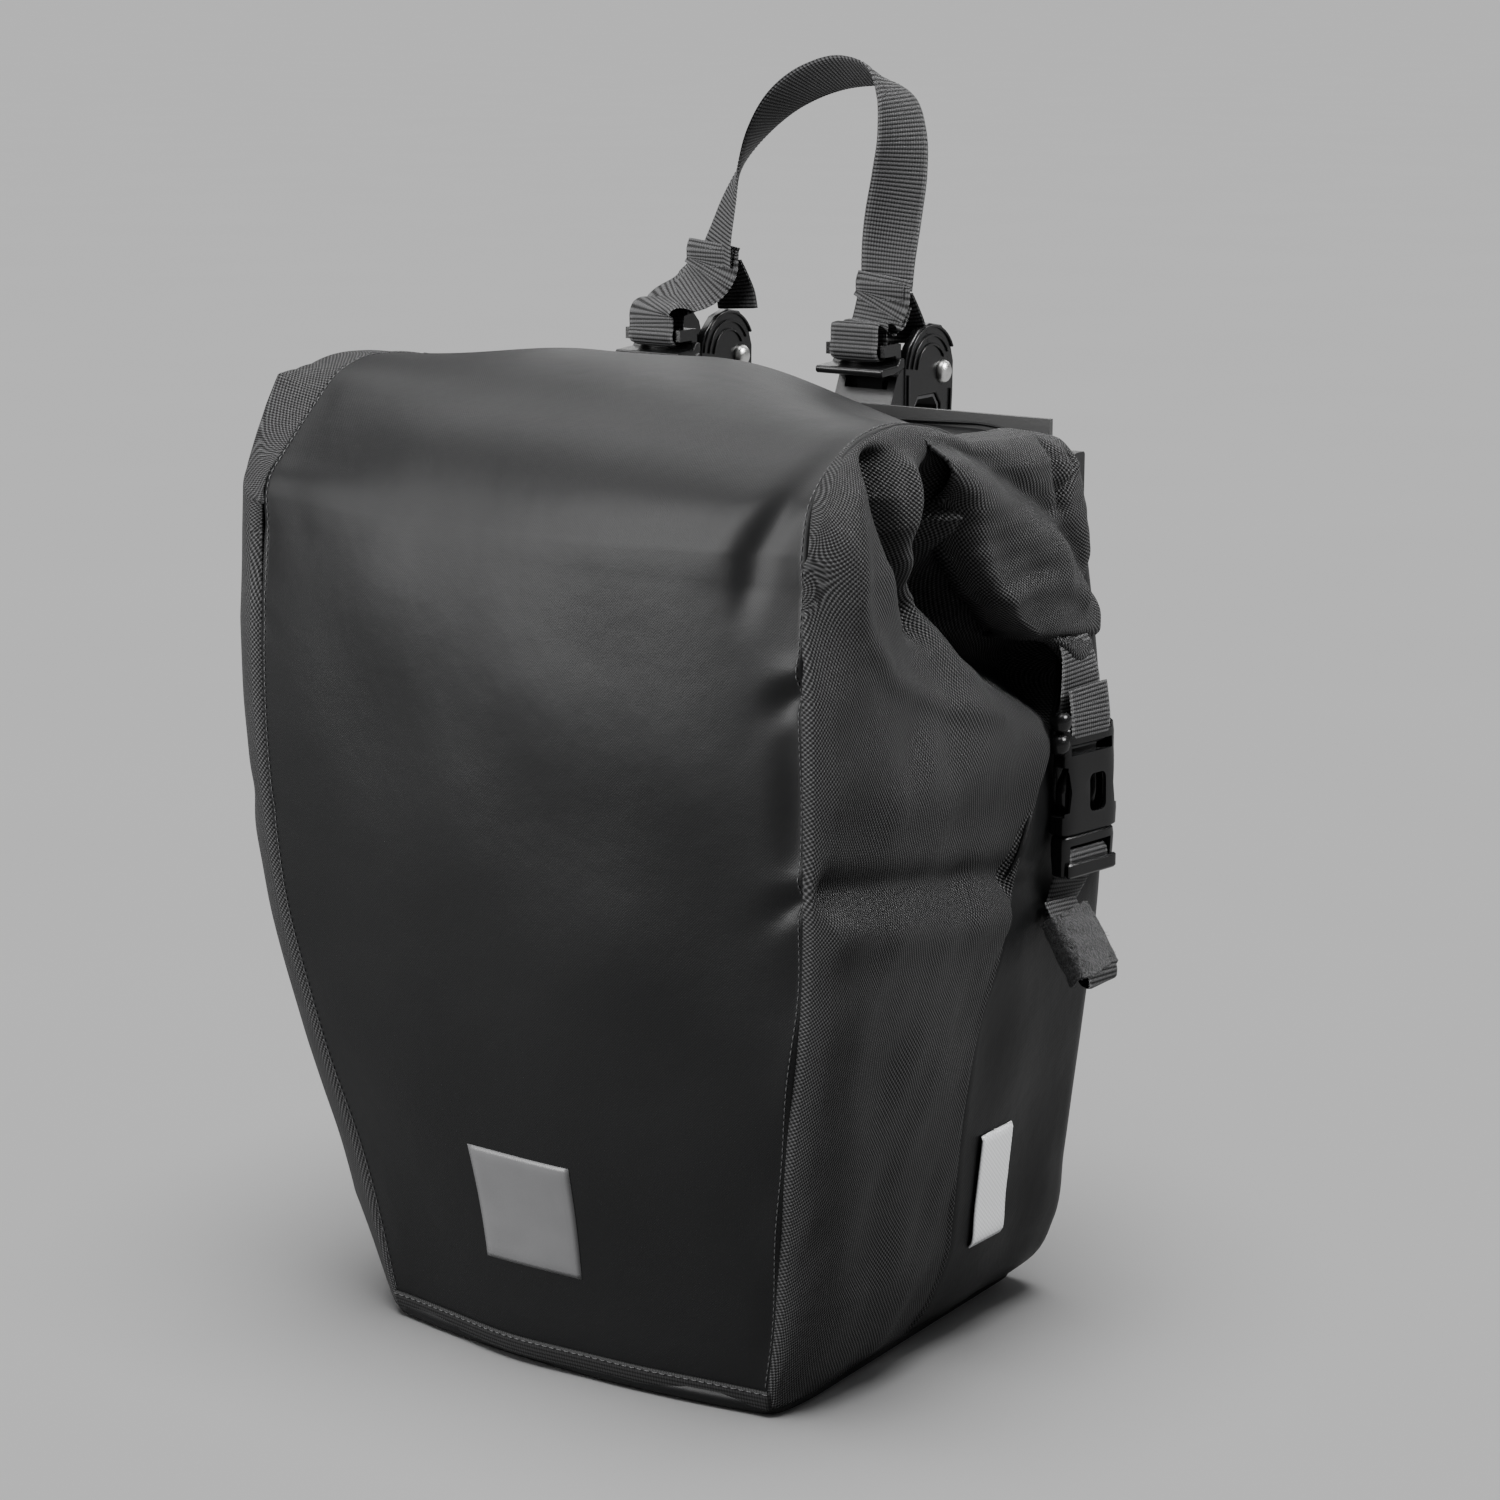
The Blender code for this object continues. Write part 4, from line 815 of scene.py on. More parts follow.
def ear_points(side):
    """Rolled end of the collar, folded down over the bag's end and pulled by the strap."""
    s = np.linspace(0.0, 1.0, EAR_ROWS)[:, None]
    t = np.linspace(0.0, 1.0, EAR_COLUMNS)[None, :]
    left, right = along_path(EAR_LEFT, EAR_ROWS), along_path(EAR_RIGHT, EAR_ROWS)
    depth = left[:, :1] + (right[:, :1] - left[:, :1]) * t
    height = left[:, 1:] + (right[:, 1:] - left[:, 1:]) * t
    top = np.interp(depth, [0.010, 0.030, 0.060, 0.085, 0.110, 0.140],
                    [0.3690, 0.3750, 0.3805, 0.3815, 0.3835, 0.3918])
    height = height + (top - left[0, 1] - (right[0, 1] - left[0, 1]) * t) * (1 - smooth(s / 0.45)) ** 1.5
    tab = bump((t - 0.56) / 0.30, 1.0) * smooth((s - 0.75) / 0.25)
    height = height - 0.0130 * tab ** 2
    drop = np.clip((top - height) / 0.10, 0.0, 1.0)
    half = 0.1312 + 0.0105 * np.sqrt(np.clip(drop / 0.10, 0, 1)) + 0.0090 * drop
    half = half + 0.0025 * 4.0 * t * (1.0 - t)
    for path, amount, width in EAR_FOLDS:
        half = half + amount * bump(path_distance(depth, height, path)[0], width) * smooth(s / 0.06)
    half = half + 0.0006 * ripple(depth, height, 0.030, 61) + 0.0003 * ripple(depth, height, 0.013, 62)
    edge_left, edge_right = np.clip(t / 0.10, 0.0, 1.0), np.clip((1.0 - t) / 0.12, 0.0, 1.0)
    half = half - 0.0170 * (1.0 - np.sqrt(1.0 - (1.0 - edge_left) ** 2)) * smooth((s - 0.08) / 0.16)
    half = half - 0.0130 * (1.0 - np.sqrt(1.0 - (1.0 - edge_right) ** 2))
    depth = depth + 0.006 * (1.0 - edge_left) * (1.0 - smooth((s - 0.05) / 0.15))
    end = smooth((s - 0.93) / 0.07)
    half = half - 0.0060 * end
    points = np.zeros((EAR_ROWS + EAR_OVER, EAR_COLUMNS, 3))
    body = points[EAR_OVER:]
    body[:, :, 0], body[:, :, 1], body[:, :, 2] = half, BACK_Y - depth, height
    over = np.linspace(0.0, 1.0, EAR_OVER, endpoint=False)[:, None]
    points[:EAR_OVER, :, 0] = body[0, :, 0] - 0.020 * (1.0 - over)
    points[:EAR_OVER, :, 1] = body[0, :, 1]
    tucked = 1.0 - smooth((t - 0.20) / 0.25)
    points[:EAR_OVER, :, 2] = (body[0, :, 2] + 0.0012 * np.sin(over * math.pi) * (1.0 - tucked)
                               - (0.0020 + 0.0040 * tucked) * (1.0 - over) ** 2)
    points[:, :, 0] *= side
    return points


def build_ear(name, side, woven):
    points = ear_points(side)
    weave = relaxed_uv(points, metres_uv(points))
    item = cloth_grid(name + "_ear_fabric", points, woven, EAR_THICK, side < 0, weave)
    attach(item, "roll_top")
    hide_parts(name + "_ear")


# ---------------------------------------------------------------- webbing
RIB_PITCH = 0.0018


def webbing(name, centres, widths, material, width=WEBBING_WIDTH, thick=0.0013):
    """Ribbed strap through the given points; widths are the directions of its width there."""
    centres, widths = np.asarray(centres, float), np.asarray(widths, float)
    knots = run_length(centres)
    count = max(12, int(knots[-1] / (RIB_PITCH / 4.0)))
    fine = np.linspace(0.0, knots[-1], count)
    middle, across = curve_at(knots, centres, fine), curve_at(knots, widths, fine)
    along = np.gradient(middle, axis=0)
    along /= np.linalg.norm(along, axis=1, keepdims=True)
    across -= along * np.sum(across * along, axis=1, keepdims=True)
    across /= np.linalg.norm(across, axis=1, keepdims=True)
    normal = np.cross(along, across)
    length = run_length(middle)
    rib = np.sin(2 * math.pi * length / RIB_PITCH)[:, None]
    a = np.linspace(-0.5, 0.5, 11)
    face = np.sqrt(np.clip(1.0 - (np.abs(a) / 0.5) ** 9, 0.0, 1.0))
    ring_a = np.concatenate([a, a[::-1]]) * width
    ring_b = np.concatenate([face, -face[::-1]]) * thick / 2
    spread = ring_a[None, :] * (1.0 + 0.006 * rib)
    height = ring_b[None, :] * (1.0 + 0.24 * rib)
    points = (middle[:, None, :] + across[:, None, :] * spread[:, :, None]
              + normal[:, None, :] * height[:, :, None])
    uv = np.stack(np.broadcast_arrays(ring_a[None, :], length[:, None]), 2)
    faces = [f[::-1] for f in tube_faces(count, len(ring_a))]
    return add_mesh(name, points, faces, material, uv)


def end_strap(name, side, path, material, width=WEBBING_WIDTH):
    """Strap on an end of the bag: path of (x, y, z) for the rear end, mirrored for the front."""
    centres = [(side * x, y, z) for x, y, z in path]
    return webbing(name, centres, [(0.0, -side * 1.0, 0.0)] * len(path), material, width)


def turn_buckle(item, side):
    """Turns the buckle and the straps in it a little towards the outward face."""
    points = np.zeros(3 * len(item.data.vertices))
    item.data.vertices.foreach_get("co", points)
    points = points.reshape(-1, 3)
    held = smooth((points[:, 2] - 0.176) / 0.020) * smooth((0.296 - points[:, 2]) / 0.020)
    angle = -side * BUCKLE_TURN * held
    x, y = points[:, 0] - side * BUCKLE_X, points[:, 1] - STRAP_Y
    points[:, 0] = side * (BUCKLE_X + 0.0012 * held) + x * np.cos(angle) - y * np.sin(angle)
    points[:, 1] = STRAP_Y + x * np.sin(angle) + y * np.cos(angle)
    item.data.vertices.foreach_set("co", points.ravel())
    return item


def build_end_straps(name, side, nylon):
    y = STRAP_Y
    upper = [(0.1490, y - 0.0014, 0.2985), (0.1512, y - 0.0012, 0.2930), (0.1520, y - 0.0008, 0.2850),
             (0.1512, y, 0.2720), (0.1506, y, 0.2620), (0.1512, y, 0.2560), (0.1540, y, 0.2538),
             (0.1568, y, 0.2560), (0.1574, y, 0.2620), (0.1566, y, 0.2700), (0.1556, y - 0.0004, 0.2780)]
    item = turn_buckle(end_strap(name + "_upper_webbing", side, upper, nylon), side)
    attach(item, "roll_top")
    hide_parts(name + "_upper_strap")
    lower = [(0.1434, y - 0.0020, 0.1640), (0.1440, y - 0.0020, 0.1700), (0.1450, y - 0.0020, 0.1770),
             (0.1464, y - 0.0018, 0.1850), (0.1484, y - 0.0012, 0.1930), (0.1500, y, 0.2010),
             (0.1506, y, 0.2060), (0.1518, y, 0.2092), (0.1542, y, 0.2104), (0.1566, y, 0.2088),
             (0.1575, y, 0.2050), (0.1575, y, 0.1998)]
    item = turn_buckle(end_strap(name + "_lower_webbing", side, lower, nylon), side)
    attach(item, "bag")
    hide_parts(name + "_lower_strap")


# ---------------------------------------------------------------- hard parts
def finished_mesh(item):
    """Bakes an object's modifiers into its mesh."""
    bpy.context.view_layer.update()
    graph = bpy.context.evaluated_depsgraph_get()
    baked = bpy.data.meshes.new_from_object(item.evaluated_get(graph))
    old = item.data
    item.modifiers.clear()
    item.data = baked
    bpy.data.meshes.remove(old)
    return item


def carve(item, cutters, joined=()):
    """Cuts and joins shapes into an item for good, then removes them."""
    for operation, others in (("UNION", joined), ("DIFFERENCE", cutters)):
        for other in others:
            change = item.modifiers.new("shape", "BOOLEAN")
            change.operation, change.object, change.solver = operation, other, "EXACT"
    finished_mesh(item)
    for other in list(cutters) + list(joined):
        bpy.data.objects.remove(other, do_unlink=True)
    return item


def soften(item, radius, segments=3, angle=32.0):
    """Rounds the edges of a moulded part so that they catch the light."""
    edge = item.modifiers.new("rounded_edges", "BEVEL")
    edge.width, edge.segments, edge.limit_method = radius, segments, "ANGLE"
    edge.angle_limit = math.radians(angle)
    edge.harden_normals = False
    item.data.polygons.foreach_set("use_smooth", [True] * len(item.data.polygons))
    shade = item.modifiers.new("flat_faces", "WEIGHTED_NORMAL")
    shade.keep_sharp = False
    return item


def stack(name, rings, material, power=4.0, around=40):
    """Closed body from rings of (x, y, z, half x, half y): rounded sections on a rising path."""
    angle = circle_angles(around)
    shape = np.stack([squared(np.cos(angle), 2 / power), squared(np.sin(angle), 2 / power)], 1)
    rows = [np.c_[x + hx * shape[:, 0], y + hy * shape[:, 1], np.full(around, z)]
            for x, y, z, hx, hy in rings]
    return add_mesh(name, np.array(rows), tube_faces(len(rows), around), material)


def plate(name, outline, axis, low, high, material, radius=0.0005):
    """Moulded plate: an outline in the two other axes, carried from low to high."""
    order = {"X": (1, 2, 0), "Y": (0, 2, 1), "Z": (0, 1, 2)}[axis]
    count = len(outline)
    points = np.zeros((2 * count, 3))
    for level, value in enumerate((low, high)):
        block = points[level * count:(level + 1) * count]
        block[:, order[0]], block[:, order[1]] = np.array(outline).T
        block[:, order[2]] = value
    faces = [tuple(range(count)), tuple(reversed(range(count, 2 * count)))]
    faces += [(i, i + count, (i + 1) % count + count, (i + 1) % count) for i in range(count)]
    item = add_mesh(name, points, faces, material)
    builder = bmesh.new()
    builder.from_mesh(item.data)
    bmesh.ops.recalc_face_normals(builder, faces=builder.faces)
    builder.to_mesh(item.data)
    builder.free()
    return soften(item, radius) if radius else item


def block(name, low, high, material, radius=0.0):
    return plate(name, [(low[0], low[1]), (high[0], low[1]), (high[0], high[1]), (low[0], high[1])],
                 "Z", low[2], high[2], material, radius)


def ring(centre, radius, sides=28, start=0.0, end=360.0):
    closed = abs(end - start) >= 360.0
    angles = np.radians(np.linspace(start, end, sides, endpoint=not closed))
    return [(centre[0] + radius * math.cos(a), centre[1] + radius * math.sin(a)) for a in angles]


def rounded_box(low, high, radius):
    """Outline of a rectangle with round corners."""
    outline = []
    left, right, bottom, top = low[0] + radius, high[0] - radius, low[1] + radius, high[1] - radius
    for centre, start in (((right, top), 0.0), ((left, top), 90.0), ((left, bottom), 180.0),
                          ((right, bottom), 270.0)):
        outline += ring(centre, radius, 7, start, start + 90.0)
    return outline


def build_female(name, side, plastic):
    """Hollow half: waisted body, thumb openings on both edges, a window and the strap's bar."""
    x, y, z = side * BUCKLE_X, STRAP_Y, BUCKLE_MOUTH
    levels = [(0.0000, 0.0046, 0.0166), (0.0008, 0.0054, 0.0175), (0.0070, 0.0056, 0.0177),
              (0.0180, 0.0054, 0.0172), (0.0270, 0.0050, 0.0162), (0.0330, 0.0046, 0.0160),
              (0.0400, 0.0042, 0.0163), (0.0440, 0.0036, 0.0160), (0.0452, 0.0026, 0.0148)]
    rings = [(x, y, z + up, hx, hy) for up, hx, hy in levels]
    body = stack(name + "_female_shell", rings, plastic, 5.0, 56)
    low, high = sorted((x - side * 0.001, x + side * 0.010))
    window = rounded_box((y - 0.0022, z + 0.0085), (y + 0.0082, z + 0.0245), 0.0028)
    cuts = [block("cavity", (x - 0.0038, y - 0.0150, z - 0.01), (x + 0.0038, y + 0.0150, z + 0.0300),
                  plastic),
            plate("window", window, "X", low, high, plastic, 0.0)]
    for label, foot, top in (("slot", 0.0335, 0.0382), ("over", 0.0418, 0.0600)):
        cuts.append(block(label, (x - 0.02, y - 0.0131, z + foot), (x + 0.02, y + 0.0131, z + top),
                          plastic))
    shallow, deep = sorted((x + side * 0.0030, x + side * 0.012))
    for turn in (-1, 1):
        opening = [(y + turn * a, z + b) for a, b in
                   ((0.0125, 0.0085), (0.0300, 0.0070), (0.0300, 0.0300), (0.0125, 0.0285))]
        cuts.append(plate("thumb", opening, "X", x - 0.0040, x + 0.0040, plastic, 0.0))
        face = [(y + turn * a, z + b) for a, b in
                ((0.0146, 0.0100), (0.0300, 0.0080), (0.0300, 0.0290), (0.0146, 0.0270),
                 (0.0134, 0.0185))]
        cuts.append(plate("scallop", face, "X", shallow, deep, plastic, 0.0))
    profile = [(-0.0042, 0.35), (-0.0036, 0.66), (-0.0022, 0.90), (0.0, 1.0), (0.0022, 0.90),
               (0.0036, 0.64), (0.0042, 0.30)]
    lobes = []
    for k in (0, 1):
        rings = [(x + side * 0.0004, y - 0.0164 + 0.0006 * k, z + 0.0385 + 0.0092 * k + up,
                  0.0042 * share, 0.0046 * share) for up, share in profile]
        lobes.append(stack("lobe_%d" % k, rings, plastic, 2.2, 28))
    turn_buckle(carve(body, cuts, lobes), side)
    soften(body, 0.00045)
    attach(body, "roll_top")
    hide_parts(name + "_female_buckle")


def build_male(name, side, plastic):
    """Ladder half: shouldered frame, the rung that the strap loops round and the centre tongue."""
    x, y, z = side * BUCKLE_X, STRAP_Y, BUCKLE_FOOT
    levels = [(0.0000, 0.0030, 0.0150), (0.0010, 0.0040, 0.0163), (0.0080, 0.0046, 0.0168),
              (0.0140, 0.0048, 0.0170), (0.0168, 0.0046, 0.0166), (0.0175, 0.0040, 0.0160)]
    rings = [(x, y, z + up, hx, hy) for up, hx, hy in levels]
    body = stack(name + "_male_frame", rings, plastic, 5.0, 56)
    tongue = stack("tongue", [(x, y, BUCKLE_MOUTH + up, 0.0018, hy) for up, hy in
                              ((-0.004, 0.0024), (0.018, 0.0022), (0.0262, 0.0020), (0.0280, 0.0012))],
                   plastic, 5.0, 20)
    rings = [(x, y, z + 0.0062 + 0.0022 * k, 0.0013, 0.0150) for k in (0, 0.5, 1)]
    rung = stack("rung", rings, plastic, 6.0, 24)
    lip = stack("lip", [(x + side * 0.0050, y, z + up, hx, hy) for up, hx, hy in
                        ((0.0002, 0.0006, 0.0148), (0.0010, 0.0012, 0.0156), (0.0056, 0.0012, 0.0156),
                         (0.0064, 0.0006, 0.0148))], plastic, 5.0, 40)
    carve(body, [block("ladder", (x - 0.02, y - 0.0131, z - 0.01), (x + 0.02, y + 0.0131, z + 0.0136),
                       plastic)])
    turn_buckle(carve(body, [], [tongue, rung, lip]), side)
    soften(body, 0.0004)
    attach(body, "bag")
    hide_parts(name + "_male_buckle")
    for turn, label in ((1, "inner"), (-1, "outer")):
        build_prong(name, label, x, y, turn, plastic)


def build_prong(name, label, x, y, turn, plastic):
    """Springy arm with its ribbed thumb pad, standing in the female half's side opening."""
    spine = [(0.0093, 0.0000), (0.0095, 0.0060), (0.0112, 0.0095), (0.0128, 0.0130), (0.0132, 0.0175),
             (0.0124, 0.0220), (0.0106, 0.0262), (0.0096, 0.0285)]
    wide = [0.0014, 0.0015, 0.0021, 0.0026, 0.0028, 0.0025, 0.0019, 0.0010]
    line = along_path([(a, b, w) for (a, b), w in zip(spine, wide)], 46)
    rings = []
    for a, b, w in line:
        rib = 0.00006 * math.sin(b * 2 * math.pi / 0.0042) * (0.0085 < b < 0.0245)
        thick = 0.0019 + 0.0006 * float(smooth((b - 0.006) / 0.006)) * float(smooth((0.026 - b) / 0.004))
        rings.append((x, y + turn * (a + rib), BUCKLE_MOUTH + b, thick, w + rib))
    item = stack("%s_%s_arm" % (name, label), rings, plastic, 3.6, 28)
    turn_buckle(item, 1 if x > 0 else -1)
    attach(item, "prong_%s_%s" % (name, label))
    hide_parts("%s_%s_prong" % (name, label))


TAIL_LEAN, TAIL_CENTRE, TAIL_FORWARD = math.radians(36.0), (0.1597, 0.1716), 0.0095


def tail_place(points, side):
    """Takes points of the folded tail, built upright, to where it hangs on one end of the bag."""
    points = np.asarray(points, float)
    c, s = math.cos(TAIL_LEAN), math.sin(TAIL_LEAN)
    x, z = points[..., 0], points[..., 2]
    return np.stack([side * (TAIL_CENTRE[0] + x * c - z * s),
                     STRAP_Y - TAIL_FORWARD + points[..., 1] + 0.10 * z,
                     TAIL_CENTRE[1] + z * c + x * s], -1)


def build_tail(name, side, nylon, felt):
    """Strap end folded on itself, inside its hook-and-loop keeper with fuzzy edges."""
    centres = tail_place([(0.0012, 0, 0.0190), (0.0006, 0, 0.0080), (0.0, 0, -0.0060), (0.0, 0, -0.0178),
                          (0.0016, 0, -0.0194), (0.0030, 0, -0.0178), (0.0030, 0, -0.0060)], side)
    across = np.array([(0.0, -side, 0.0)] * len(centres))
    item = webbing(name + "_tail_webbing", centres, across, nylon, 0.0240)
    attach(item, "bag")
    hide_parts(name + "_tail_bundle")
    rows, around = 54, 90
    angle = circle_angles(around)
    level = np.linspace(-0.0148, 0.0132, rows)[:, None]
    puff = 1.0 + 0.10 * np.sin((level + 0.0148) / 0.028 * math.pi)
    wide = 0.0150 + 0.0006 * ripple(level, 0 * level, 0.012, 71)
    thick = 0.0050 * puff + 0.0004 * ripple(level, 0.01 * angle[None, :], 0.007, 72)
    points = np.zeros((rows, around, 3))
    points[:, :, 0] = squared(np.cos(angle), 0.55) * thick
    points[:, :, 1] = squared(np.sin(angle), 0.45) * wide
    frayed = 0.0010 * ripple(points[:, :, 1], points[:, :, 0], 0.010, 73)
    points[:, :, 2] = level + frayed * (np.abs(level) > 0.012)
    placed = tail_place(points, side)
    keeper = add_mesh(name + "_keeper_felt", placed, grid_faces(rows, around, around=True), felt)
    solid = keeper.modifiers.new("thickness", "SOLIDIFY")
    solid.thickness, solid.offset = 0.0011, 0.0
    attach(keeper, "bag")
    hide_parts(name + "_tail_keeper")
    fuzz = fibres(name + "_keeper_fuzz", placed.reshape(-1, 3), 1500, 81 + side, felt)
    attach(fuzz, "bag")


def fibres(name, roots, count, seed, material):
    """Short bent hairs standing off a surface, each a thin flat thread of three faces."""
    random = np.random.default_rng(seed)
    middle = roots.mean(axis=0)
    points, faces = [], []
    for _ in range(count):
        root = roots[random.integers(len(roots))]
        away = (root - middle) / np.linalg.norm(root - middle) + random.normal(0, 0.7, 3)
        away /= np.linalg.norm(away)
        bend = random.normal(0, 0.5, 3)
        length, first = random.uniform(0.0005, 0.0017), len(points)
        side = np.cross(away, random.normal(0, 1, 3))
        side *= 0.00005 / np.linalg.norm(side)
        for k in range(4):
            spot = root + (away + bend * k / 4.0) * length * k / 3.0
            points += [spot - side, spot + side]
        for a in (first, first + 2, first + 4):
            faces.append((a, a + 1, a + 3, a + 2))
    return add_mesh(name, points, faces, material)


# ---------------------------------------------------------------- seams
def stitches(name, line, normals, material, body=None, pitch=0.0032, length=0.0022, radius=0.00028):
    """Row of thread stitches along a line of points, each sunk a little at its ends."""
    line, normals = np.asarray(line, float), np.asarray(normals, float)
    run = run_length(line)
    points, faces = [], []
    for start in np.arange(pitch / 2, run[-1] - length, pitch):
        first = len(points)
        at = start + np.linspace(0.0, length, 5)
        spine = np.stack([np.interp(at, run, line[:, k]) for k in range(3)], 1)
        up = np.array([np.interp(start, run, normals[:, k]) for k in range(3)])
        up /= np.linalg.norm(up)
        along = spine[-1] - spine[0]
        along /= np.linalg.norm(along)
        across = np.cross(along, up)
        for spot, rise in zip(spine, (0.15, 0.8, 1.0, 0.8, 0.15)):
            centre = spot + up * radius * rise
            thick = radius * (0.55 + 0.45 * rise)
            for angle in circle_angles(6):
                points.append(centre + thick * (across * math.cos(angle) + up * math.sin(angle)))
        for k in range(4):
            for j in range(6):
                a, b = first + 6 * k + j, first + 6 * k + (j + 1) % 6
                faces.append((a, b, b + 6, a + 6))
        faces += [tuple(first + j for j in range(6)), tuple(first + 29 - j for j in range(6))]
    return add_mesh(name, points, faces, material, body=body)


def grid_normals(points):
    across, up = np.gradient(points, axis=1), np.gradient(points, axis=0)
    normals = np.cross(across, up)
    return normals / np.linalg.norm(normals, axis=2, keepdims=True)


def stitch_face(points, thread):
    """Topstitching down both long edges of the coated face."""
    normals = grid_normals(points)
    for name, column in (("rear", -3), ("front", 2)):
        item = stitches(name + "_seam_thread", points[2:, column], normals[2:, column], thread)
        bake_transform(item)


def face_row(points, height):
    """First row of the face's grid that reaches a height, read up its middle."""
    return int(np.searchsorted(points[:TUB_ROWS, FACE_COLUMNS // 2, 2], height))


def build_binding(points, tape, thread):
    """Narrow woven tape folded round the bottom edge of the coated face."""
    upper = points[face_row(points, 0.0045)]
    lower = points[0] - (0.0, 0.0, 0.0012)
    normals = grid_normals(points)[:3].mean(axis=0)
    rows = []
    for share, lift in ((1.0, 0.0001), (0.98, 0.0007), (0.7, 0.0008), (0.4, 0.0008), (0.1, 0.0006),
                        (-0.06, 0.0000), (-0.14, -0.0012), (-0.16, -0.0040)):
        rows.append(lower + (upper - lower) * share + normals * lift)
    item = cloth_grid("base_binding_tape", np.array(rows[::-1]), tape, FILM_THICK)
    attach(item, "bag")
    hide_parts("base_binding")
    line = lower + (upper - lower) * 0.86 + normals * 0.0009
    stitches("binding_thread", line, normals, thread, "bag", 0.0036, 0.0024)


def grid_value(grid, u, v):
    """Value of a grid between its points, u columns and v rows from its first one."""
    i, j = int(min(u, grid.shape[1] - 2)), int(min(v, grid.shape[0] - 2))
    fu, fv = u - i, v - j
    return (grid[j, i] * (1 - fu) * (1 - fv) + grid[j, i + 1] * fu * (1 - fv)
            + grid[j + 1, i] * (1 - fu) * fv + grid[j + 1, i + 1] * fu * fv)


def patch_on(points, corners, lift):
    """Grid of points on a surface grid, between fractions (column, row) of its corners."""
    rows, columns = points.shape[:2]
    normals = grid_normals(points)
    made = []
    for b in np.linspace(0.0, 1.0, 26):
        line = []
        for a in np.linspace(0.0, 1.0, 22):
            c = (np.array(corners[0]) * (1 - a) * (1 - b) + np.array(corners[1]) * a * (1 - b)
                 + np.array(corners[2]) * a * b + np.array(corners[3]) * (1 - a) * b)
            u, v = c[0] * (columns - 1), c[1] * (rows - 1)
            edge = min(a, 1 - a, b, 1 - b)
            rise = lift * min(1.0, 0.2 + edge * 14)
            line.append(grid_value(points, u, v) + grid_value(normals, u, v) * rise)
        made.append(line)
    return np.array(made)


def build_badge(points, film):
    """Blank grey patch low on the outward face."""
    low, high = (face_row(points, height) / (len(points) - 1.0) for height in (0.037, 0.088))
    corners = [(0.342, low), (0.557, low), (0.557, high), (0.342, high)]
    item = cloth_grid("badge_patch_film", patch_on(points, corners, 0.0011), film, FILM_THICK)
    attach(item, "bag")
    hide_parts("badge_patch")


def build_reflector(name, side, film):
    """Reflective strip sewn on the wrap of the back fabric."""
    heights = np.linspace(0.040, 0.092, 24)[:, None]
    lean = (heights - 0.040) / 0.052 * 0.004
    depths = np.linspace(0.086, 0.062, 14)[None, :] + lean
    edge = smooth(np.minimum(heights - 0.0395, 0.0925 - heights) / 0.0012)
    x = end_half_width(heights, depths) + 0.0016 * edge + 0.0006
    points = settle(np.stack([side * x, BACK_Y - depths, heights + 0 * depths], 2))
    item = cloth_grid(name + "_reflector_film", points, film, FILM_THICK, flip=side < 0)
    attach(item, "bag")
    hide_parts(name + "_reflector")


# ---------------------------------------------------------------- handle
def on_back(x, out, z):
    return (x, BACK_Y + out, z)


def build_handle(nylon, thread):
    """Arch of webbing that turns edge-on above each join, as a carried strap does."""
    path = [(-0.0790, 0.0250, 0.4340), (-0.0760, 0.0250, 0.4450), (-0.0715, 0.0255, 0.4600),
            (-0.0650, 0.0260, 0.4770), (-0.0545, 0.0260, 0.4930), (-0.0400, 0.0255, 0.5070),
            (-0.0225, 0.0250, 0.5160), (-0.0050, 0.0250, 0.5195), (0.0080, 0.0250, 0.5175),
            (0.0165, 0.0250, 0.5085), (0.0200, 0.0250, 0.4930), (0.0190, 0.0250, 0.4760),
            (0.0160, 0.0250, 0.4580), (0.0138, 0.0250, 0.4420), (0.0128, 0.0250, 0.4260)]
    # turn about the vertical and tilt of the strap's width at each point, in degrees
    facing = [(160, 0), (150, 0), (140, 0), (122, 5), (106, 15), (96, 26), (91, 33), (88, 34), (84, 24),
              (76, 8), (62, 0), (46, 0), (32, 0), (16, 0), (6, 0)]
    widths = [(math.cos(math.radians(a)), math.sin(math.radians(a)), -math.tan(math.radians(tilt)))
              for a, tilt in facing]
    item = webbing("handle_webbing", [on_back(*p) for p in path], widths, nylon, thick=0.0015)
    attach(item, "handle")
    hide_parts("handle_strap")
    for name, top in (("front", (-0.0785, 0.4335)), ("rear", (0.0125, 0.4235))):
        build_handle_loop(name, HOOK_X[name], top, nylon, thread)


